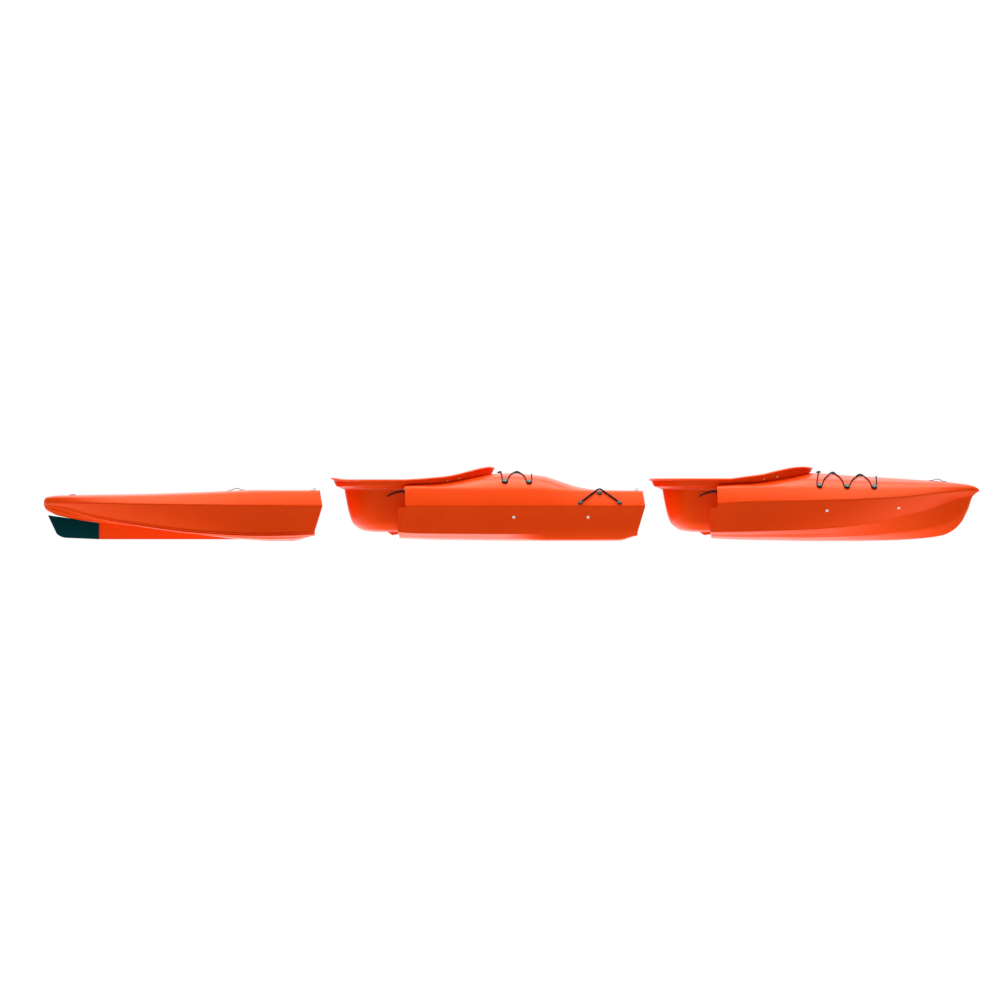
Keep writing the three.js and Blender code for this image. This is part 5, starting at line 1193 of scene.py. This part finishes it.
def braided_cord():
    """Cord paint: a diamond braid of two sets of strands that wind both ways round the cord, darker in the hollows
    between the strands as painted shade.
    """
    paint, shader, add, work = painted("cord")
    split = add("SeparateXYZ", {0: add("Attribute", attribute_name="lay").outputs["Vector"]}).outputs
    turn = work("ARCTAN2", split["Z"], split["Y"])
    run = work("MULTIPLY", split["X"], 2 * math.pi / 0.004)
    height = woven_height(add, work, [work("MULTIPLY_ADD", turn, strands, run) for strands in (5.0, -5.0)])
    # The darker tint falls between the strands as painted shade.
    return cloth(paint, shader, add, height, ((0.002, 0.002, 0.0022), (0.010, 0.010, 0.011)), 0.0004,
                 {"Roughness": 0.75, "Specular IOR Level": 0.1})


cord_black = braided_cord()


def relaxed(path, passes):
    """The path with its small steps evened out; its ends stay."""
    path = np.array(path, float)
    for _ in range(passes):
        path[1:-1] = 0.5 * path[1:-1] + 0.25 * (path[:-2] + path[2:])
    return path


def knot_path(place, size):
    """A pulled overhand knot: a trefoil in the frame of the deck under it."""
    t = np.linspace(0, 2 * math.pi, 90)
    knot = size * np.column_stack([np.sin(t) + 2 * np.sin(2 * t), 0.8 * (np.cos(t) - 2 * np.cos(2 * t)),
                                   -0.9 * np.sin(3 * t)])
    return knot @ place[:3, :3].T + place[:3, 3]


for hull in ("mid", "bow"):
    places = button_places(hull)
    reach = post_radius + bungee_slack + bungee_radius
    lift = bungee_radius + bungee_lift
    knot_at = (places[0][0] - knot_back[hull], 0.0)
    stops = [(knot_at, 0.0)] + [((places[row][0], side * places[row][1]), reach) for row, side in bungee_routes[hull]]
    legs, bends = laced(stops + [(knot_at, 0.0)])
    path = []
    for i, (begin, end) in enumerate(legs):
        share = np.linspace(0, 1, 42)
        plan = begin + np.outer(share, end - begin)
        crosses = end[0] > begin[0] and 0 < i < len(legs) - 1 and begin[1] * end[1] < 0
        near = np.clip(1 - np.abs(2 * share - 1) / 0.5, 0, 1) if crosses else 0 * share
        near = near * near * (3 - 2 * near)
        z = deck_z(hull, plan[:, 0], plan[:, 1]) + lift + near * (2 * bungee_radius + bungee_lift)
        path.append(np.column_stack([plan[:, 0] + section_x[hull], plan[:, 1], z]))
        if i < len(bends):
            (cx, cy), offsets = bends[i]
            frame_here = deck_frame(hull, cx, cy)
            ring = np.column_stack([offsets, np.full(len(offsets), lift)])
            path.append(ring @ frame_here[:3, :3].T + frame_here[:3, 3])
    knot_frame = deck_frame(hull, *knot_at)
    knot_frame[:3, 3] += knot_frame[:3, 2] * 0.0072
    tails = [knot_frame[:3, 3] + np.outer(np.linspace(0, 1, 12), [-0.012, side * 0.006, 0]) +
             np.outer(np.sin(np.linspace(0, 1, 12) * 2), [0, 0, -0.002]) for side in (-1, 1)]
    lacing = relaxed(np.concatenate(path), 3)
    bungee = cord_object(f"{hull}_shock_cord", [lacing, knot_path(knot_frame, 0.0021)] + tails, bungee_radius)
    finish_piece(bungee, hull, [f"{hull}_bungee"], cord_black, 60)

# Side paddle keeper.
# A black cord runs from one pad up over a hook and down to another on the middle section's starboard side.
keeper_pads = {"keeper_pad_rear": (0.909, 0.199), "keeper_pad_front": (1.112, 0.199), "keeper_hook": (1.008, 0.250)}
keeper_radius, pad_radius, pad_height = 0.004, 0.012, 0.009
keeper_heads = []
for name, (x, z) in keeper_pads.items():
    place = side_frame("mid", x, z, "knuckle", "shoulder")
    pad = lathe_part([(0, -0.003), (pad_radius, -0.003), (pad_radius, 0.0042), (0.0112, 0.0066), (0.0088, 0.0086),
                      (0.0060, pad_height), (0.0048, 0.0088), (0.0045, 0.0075), (0, 0.0075)], place, 40)
    finish_piece(joined(f"{name}_boss", pad), "mid", [name], black_plastic)
    place = place.copy()
    place[:3, 3] += place[:3, 2] * 0.0075
    keeper_heads.append(screw_part(place, 0.0040, 0.0013))
finish_piece(joined("keeper_screws", *keeper_heads), "mid", [], dull_steel)

eyes = [np.array(keeper_pads[name]) for name in ("keeper_pad_rear", "keeper_pad_front")]
apex = np.array(keeper_pads["keeper_hook"])
legs, bends = laced([(eyes[0], 0.0), (apex, pad_radius + bungee_slack + keeper_radius), (eyes[1], 0.0)])
plan = []
for i, (begin, end) in enumerate(legs):
    clear = (pad_radius + 0.0012) / np.linalg.norm(end - begin)
    share = np.linspace(clear, 1, 24) if i == 0 else np.linspace(0, 1 - clear, 24)
    plan.append(begin + np.outer(share, end - begin))
    if i == 0:
        plan.append(bends[0][0] + bends[0][1])
path = []
for x, z in np.concatenate(plan):
    place = side_frame("mid", x, z, "knuckle", "shoulder")
    path.append(place[:3, 3] + place[:3, 2] * (keeper_radius + bungee_lift))
keeper = cord_object("keeper_line", [relaxed(path, 4)], keeper_radius)
finish_piece(keeper, "mid", ["keeper_cord"], cord_black, 60)

# Seats.
# A black moulded seat sits on the tub's floor and on a leg in the hull, with two ears for the backrest's pins.
seat_back, seat_front, seat_half, seat_top = 0.172, 0.170, 0.165, 0.078
backrest_x, backrest_z = -0.150, 0.096
barrel_half, barrel_radius, pin_radius, ear_thickness, ear_radius = 0.095, 0.009, 0.005, 0.010, 0.015


def cylinder_y(radius, x, z, low, high, hull, sides=48):
    """A solid bar across the kayak."""
    angle = np.arange(sides) * 2 * math.pi / sides
    outline = np.stack([x + radius * np.cos(angle), z + radius * np.sin(angle)], 1)
    return side_solid(outline, low, high, section_x[hull])


for hull in ("mid", "bow"):
    x0 = section_x[hull]
    plan = rounded_outline([(-seat_back, -seat_half), (seat_front, -seat_half), (seat_front, seat_half),
                            (-seat_back, seat_half)], [0.04, 0.03, 0.03, 0.04], 9)
    seat = prism(np.array(plan), tub_floor, seat_top, x0)
    seat.name = f"{hull}_seat_pan"
    room = tub_rings(tub_depth[hull], -skin - 0.003, seat_front + beyond, tub_top) + np.array([0, 0, seam - 0.003])
    leg = carved(box_solid([0.012, -0.095, 0], [seat_front, 0.095, 0.062], x0), keep(hull_outside(hull, skin + seam)))
    dish = prism(np.array(rounded_outline([(-0.146, -0.152), (0.163, -0.152), (0.163, 0.152), (-0.146, 0.152)],
                                          [0.03] * 4, 9)), seat_top - 0.0015, seat_top + beyond, x0)
    under_front = box_solid([skin + 0.003, -half_beam, -beyond], [seat_front + beyond, half_beam, 0.056], x0)
    under_back = box_solid([-tub_depth[hull], -half_beam, -beyond], [beyond, half_beam, tub_floor + skin + seam], x0)
    steps = keep(solid_object("room", room, x0)) + cut(under_front, under_back) + join(leg) + cut(dish)
    for side, _ in both_sides:
        low, high = sorted((side * (barrel_half + seam), side * (barrel_half + seam + ear_thickness)))
        steps += join(cylinder_y(ear_radius, backrest_x, backrest_z, low, high, hull),
                      box_solid([backrest_x - ear_radius, low, seat_top - skin],
                                [backrest_x + ear_radius, high, backrest_z], x0))
    steps += cut(cylinder_y(pin_radius + seam, backrest_x, backrest_z, -half_beam, half_beam, hull))
    softened(carved(seat, steps), 0.0012, 2, 50)
    finish_piece(seat, hull, [f"{hull}_seat"], black_plastic)

# Cushions and backrests.
# Foam pads in black cloth with piped edges: one flat on the seat, and one that leans back and folds on its pins.
pad_profile = [(0.0, 0.0), (0.5, 0.0), (0.93, 0.0), (1.0, 0.16), (0.965, 0.42), (1.0, 0.66), (0.95, 0.80), (0.72, 0.92),
               (0.4, 0.98), (0.0, 1.0)]
pad_squareness, piping = 3.4, 0.0016
cushion_back, cushion_front, cushion_half, cushion_thickness = 0.128, 0.160, 0.148, 0.030
backrest_height, backrest_half, backrest_thickness, backrest_lean = 0.178, 0.128, 0.032, math.radians(12)
pad_cloth = woven("foam_pad", (0.009, 0.009, 0.010), (0.026, 0.026, 0.028), 0.0024, 0.00035, 0.85)


def pad_part(half_length, half_width, thickness, frame, grooves, around=120, sides=64):
    """A stuffed pad: one rounded outline that draws in at half its height and has a crowned top. The grooves are
    stitched lines across it, each a place along it from -1 to 1, that pull the top down."""
    profile = np.array(pad_profile)
    run = np.concatenate([[0], np.cumsum(np.hypot(*np.diff(profile, axis=0).T * np.array([[1.0], [0.3]])))])
    u = np.linspace(0, run[-1], sides)[1:-1]
    width = along(np.column_stack([run, profile[:, 0]]), u)
    height = along(np.column_stack([run, profile[:, 1]]), u)
    angle = np.arange(around) * 2 * math.pi / around

    def squared(value):
        return np.sign(value) * np.abs(value) ** (2 / pad_squareness)

    x = np.outer(width, squared(np.cos(angle)))
    y = np.outer(width, squared(np.sin(angle)))
    z = np.repeat(height[:, None], around, 1)
    top = np.clip((z - 0.6) / 0.3, 0, 1)
    for groove in grooves:
        z = z - 0.16 * top * np.exp(-((x - groove) / 0.045) ** 2) * np.clip(1.3 * (1 - np.abs(y)), 0, 1)
    puff = 0.02 * np.sin(9 * x + 1) * np.sin(7 * y + 2) + 0.015 * np.sin(17 * x) * np.sin(13 * y)
    z = z + puff * top * (1 - width[:, None])
    rows = np.stack([half_length * x, half_width * y, thickness * z], -1)
    poles = np.array([[0, 0, 0], [0, 0, thickness * (1 - 0.16 * sum(abs(g) < 0.02 for g in grooves))]])
    points = np.concatenate([rows.reshape(-1, 3), poles])
    parts = [placed(points, turned_faces(len(u), around), frame)]
    for share, level in ((0.992, 0.16), (0.992, 0.66)):
        loop = np.column_stack([half_length * share * squared(np.cos(angle)),
                                half_width * share * squared(np.sin(angle)), np.full(around, thickness * level)])
        loop = np.concatenate([loop, loop[:2]]) @ frame[:3, :3].T + frame[:3, 3]
        parts.append(tube_part(loop, piping, 8)[:2])
    return parts


for hull in ("mid", "bow"):
    x0 = section_x[hull]
    flat = np.eye(4)
    flat[:3, 3] = [x0 + (cushion_front - cushion_back) / 2, 0, seat_top + seam]
    cushion = joined(f"{hull}_cushion", *pad_part(
        (cushion_front + cushion_back) / 2 - piping, cushion_half - piping, cushion_thickness, flat, (-0.45, 0.35)))
    finish_piece(cushion, hull, [f"{hull}_seat_cushion"], pad_cloth, 40)
    lean = np.array(Matrix.Translation((x0 + backrest_x, 0, backrest_z))
                    @ Matrix.Rotation(math.pi / 2 - backrest_lean, 4, "Y")
                    @ Matrix.Translation((-backrest_height / 2, 0, -backrest_thickness / 2)))
    backrest = joined(f"{hull}_back_pad", *pad_part(backrest_height / 2 - piping, backrest_half - piping,
                                                    backrest_thickness, lean, (-0.35, 0.35)))
    finish_piece(backrest, f"{hull}_backrest", [f"{hull}_backrest"], pad_cloth, 40)
    pivot = frame_at([x0 + backrest_x, 0, backrest_z], [0, 1, 0])
    barrel = lathe_part([(0, -barrel_half), (barrel_radius - 0.001, -barrel_half),
                         (barrel_radius, -barrel_half + 0.001), (barrel_radius, barrel_half - 0.001),
                         (barrel_radius - 0.001, barrel_half), (0, barrel_half)], pivot, 32)
    reach = barrel_half + ear_thickness
    pin = lathe_part([(0, -reach), (pin_radius, -reach), (pin_radius, reach), (0, reach)], pivot, 24)
    finish_piece(joined(f"{hull}_back_hinge", barrel, pin), f"{hull}_backrest", [], black_plastic)

# Thigh braces.
# A curved plate of black plastic under each side of a coaming, from the opening's edge inwards and down.
brace_back, brace_front, brace_width, brace_thickness, brace_drop, brace_rise = 0.150, 0.320, 0.058, 0.012, 0.026, 0.006
brace_slope = [(0, 0), (0.35, 0.02), (0.7, 0.3), (1, 1)]
for hull in ("mid", "bow"):
    i = np.linspace(0, 1, 41)
    x = brace_back + (brace_front - brace_back) * i
    nose_x = opening_reach - tub_depth[hull] - opening_nose
    edge = tub_half_width * np.sqrt(1 - np.maximum(0, (x - nose_x) / opening_nose) ** 2) - skin - seam
    width = brace_width * np.sin(math.pi * (6 * i + 1) / 8) ** 0.5
    z = deck_z(hull, x, edge) + brace_rise
    across = np.linspace(0, 1, 15)
    drop = along(brace_slope, across)
    upper = np.stack([np.repeat(x[:, None], 15, 1), -(edge[:, None] - width[:, None] * across),
                      z[:, None] - drop * brace_drop], -1)
    rings = np.concatenate([upper, (upper - np.array([0, 0, brace_thickness]))[:, ::-1]], 1)
    for side, tag in both_sides:
        brace = made_object(f"{hull}_brace_{tag}", rings * np.array([1, -side, 1]), tube_faces(*rings.shape[:2]),
                            section_x[hull])
        softened(brace, 0.003, 3, 40)
        finish_piece(brace, hull, [f"{hull}_thigh_brace_{tag}"], black_plastic, 40)

# Foot braces.
# An alloy rail with adjusting slots stands off the inside of each side on two spacers, held by two bolts through
# the skin, and a ribbed black pedal on a carrier slides along it.
rail_bolts = {"mid": [(0.4519, 0.47), (0.7616, 0.47)], "bow": [(0.4166, 0.598), (0.6914, 0.6466)]}
rail_standoff, rail_half_height, rail_thickness, rail_overlap, spacer_radius = 0.005, 0.011, 0.012, 0.026, 0.009
carrier_half, carrier_wall, pedal_thickness, pedal_half, pedal_reach = 0.030, 0.007, 0.009, 0.046, 0.072
slot_pitch, slot_half, slot_half_height, groove_half = 0.021, 0.004, 0.0032, 0.0062


def framed_box(low, high, frame, name="box"):
    """A box in a frame, as an object."""
    return joined(name, placed(*box_part(low, high), frame))


def rail_frame(hull, side):
    """Frame midway between a rail's bolts: X along the rail and Z out through the skin. Also half the bolts' span."""
    rear, front = (side_frame(hull, x * section_length[hull], z * deck_height, "chine", "knuckle", side)
                   for x, z in rail_bolts[hull])
    run = front[:3, 3] - rear[:3, 3]
    half = np.linalg.norm(run) / 2
    run /= 2 * half
    out = rear[:3, 2] + front[:3, 2]
    out -= run * (out @ run)
    out /= np.linalg.norm(out)
    frame = np.eye(4)
    frame[:3, :3] = np.stack([run, np.cross(out, run), out], 1)
    frame[:3, 3] = (rear[:3, 3] + front[:3, 3]) / 2
    return frame, half, (rear, front)


for hull, (side, tag) in ((hull, one) for hull in ("mid", "bow") for one in both_sides):
    place, half, bolts = rail_frame(hull, side)
    top = -skin - rail_standoff
    low = top - rail_thickness
    reach = half + rail_overlap
    rail = framed_box([-reach, -rail_half_height, low], [reach, rail_half_height, top], place, f"{hull}_rail_{tag}")
    steps = cut(framed_box([-reach + 0.008, -groove_half, low - 0.001], [reach - 0.008, groove_half, low + 0.003],
                           place))
    for k in range(-8, 9):
        if abs(k) * slot_pitch < half - 0.014:
            steps += cut(framed_box([slot_pitch * k - slot_half, -slot_half_height, low - 0.002],
                                    [slot_pitch * k + slot_half, slot_half_height, top + 0.002], place))
    for bolt in bolts:
        steps += join(joined("spacer", lathe_part([(0, top - rail_thickness / 2),
                                                   (spacer_radius, top - rail_thickness / 2),
                                                   (spacer_radius, -skin - seam), (0, -skin - seam)], bolt, 32)))
    softened(carved(rail, steps), 0.0008, 2, 50)
    finish_piece(rail, hull, [f"{hull}_foot_rail_{tag}"], rail_alloy)
    depth = skin + rail_standoff + rail_thickness - 4 * seam
    for bolt, end in zip(bolts, ("rear", "front")):
        head = lathe_part([(0, -depth), (0.003, -depth), (0.003, 0.0002), (0.0085, 0.0002), (0.0085, 0.0010),
                           (0.0078, 0.0024), (0.0060, 0.0036), (0.0048, 0.004), (0.0034, 0.004), (0.0030, 0.0036),
                           (0.0028, 0.0018), (0, 0.0018)], bolt, 32)
        finish_piece(joined(f"{hull}_bolt_{end}_{tag}", head), hull,
                     [f"{hull}_rail_bolt_{end}_{tag}"], stainless)
    inner = rail_half_height + seam
    carrier = framed_box([-carrier_half, -inner - carrier_wall, low - carrier_wall],
                         [carrier_half, inner + carrier_wall, top - seam], place, f"{hull}_pedal_{tag}")
    steps = cut(framed_box([-beyond, -inner, low - seam], [beyond, inner, 0], place))
    steps += join(framed_box([-carrier_half, -pedal_half, low - pedal_reach],
                             [-carrier_half + pedal_thickness, pedal_half, low - carrier_wall / 2], place))
    for k in range(7):
        z = low - pedal_reach + 0.006 + 0.0095 * k
        steps += cut(framed_box([-carrier_half - 0.001, -pedal_half + 0.005, z],
                                [-carrier_half + 0.002, pedal_half - 0.005, z + 0.0045], place))
    softened(carved(carrier, steps), 0.0012, 2, 50)
    finish_piece(carrier, f"{hull}_foot_pedal_{tag}", [f"{hull}_foot_pedal_{tag}"], black_plastic)
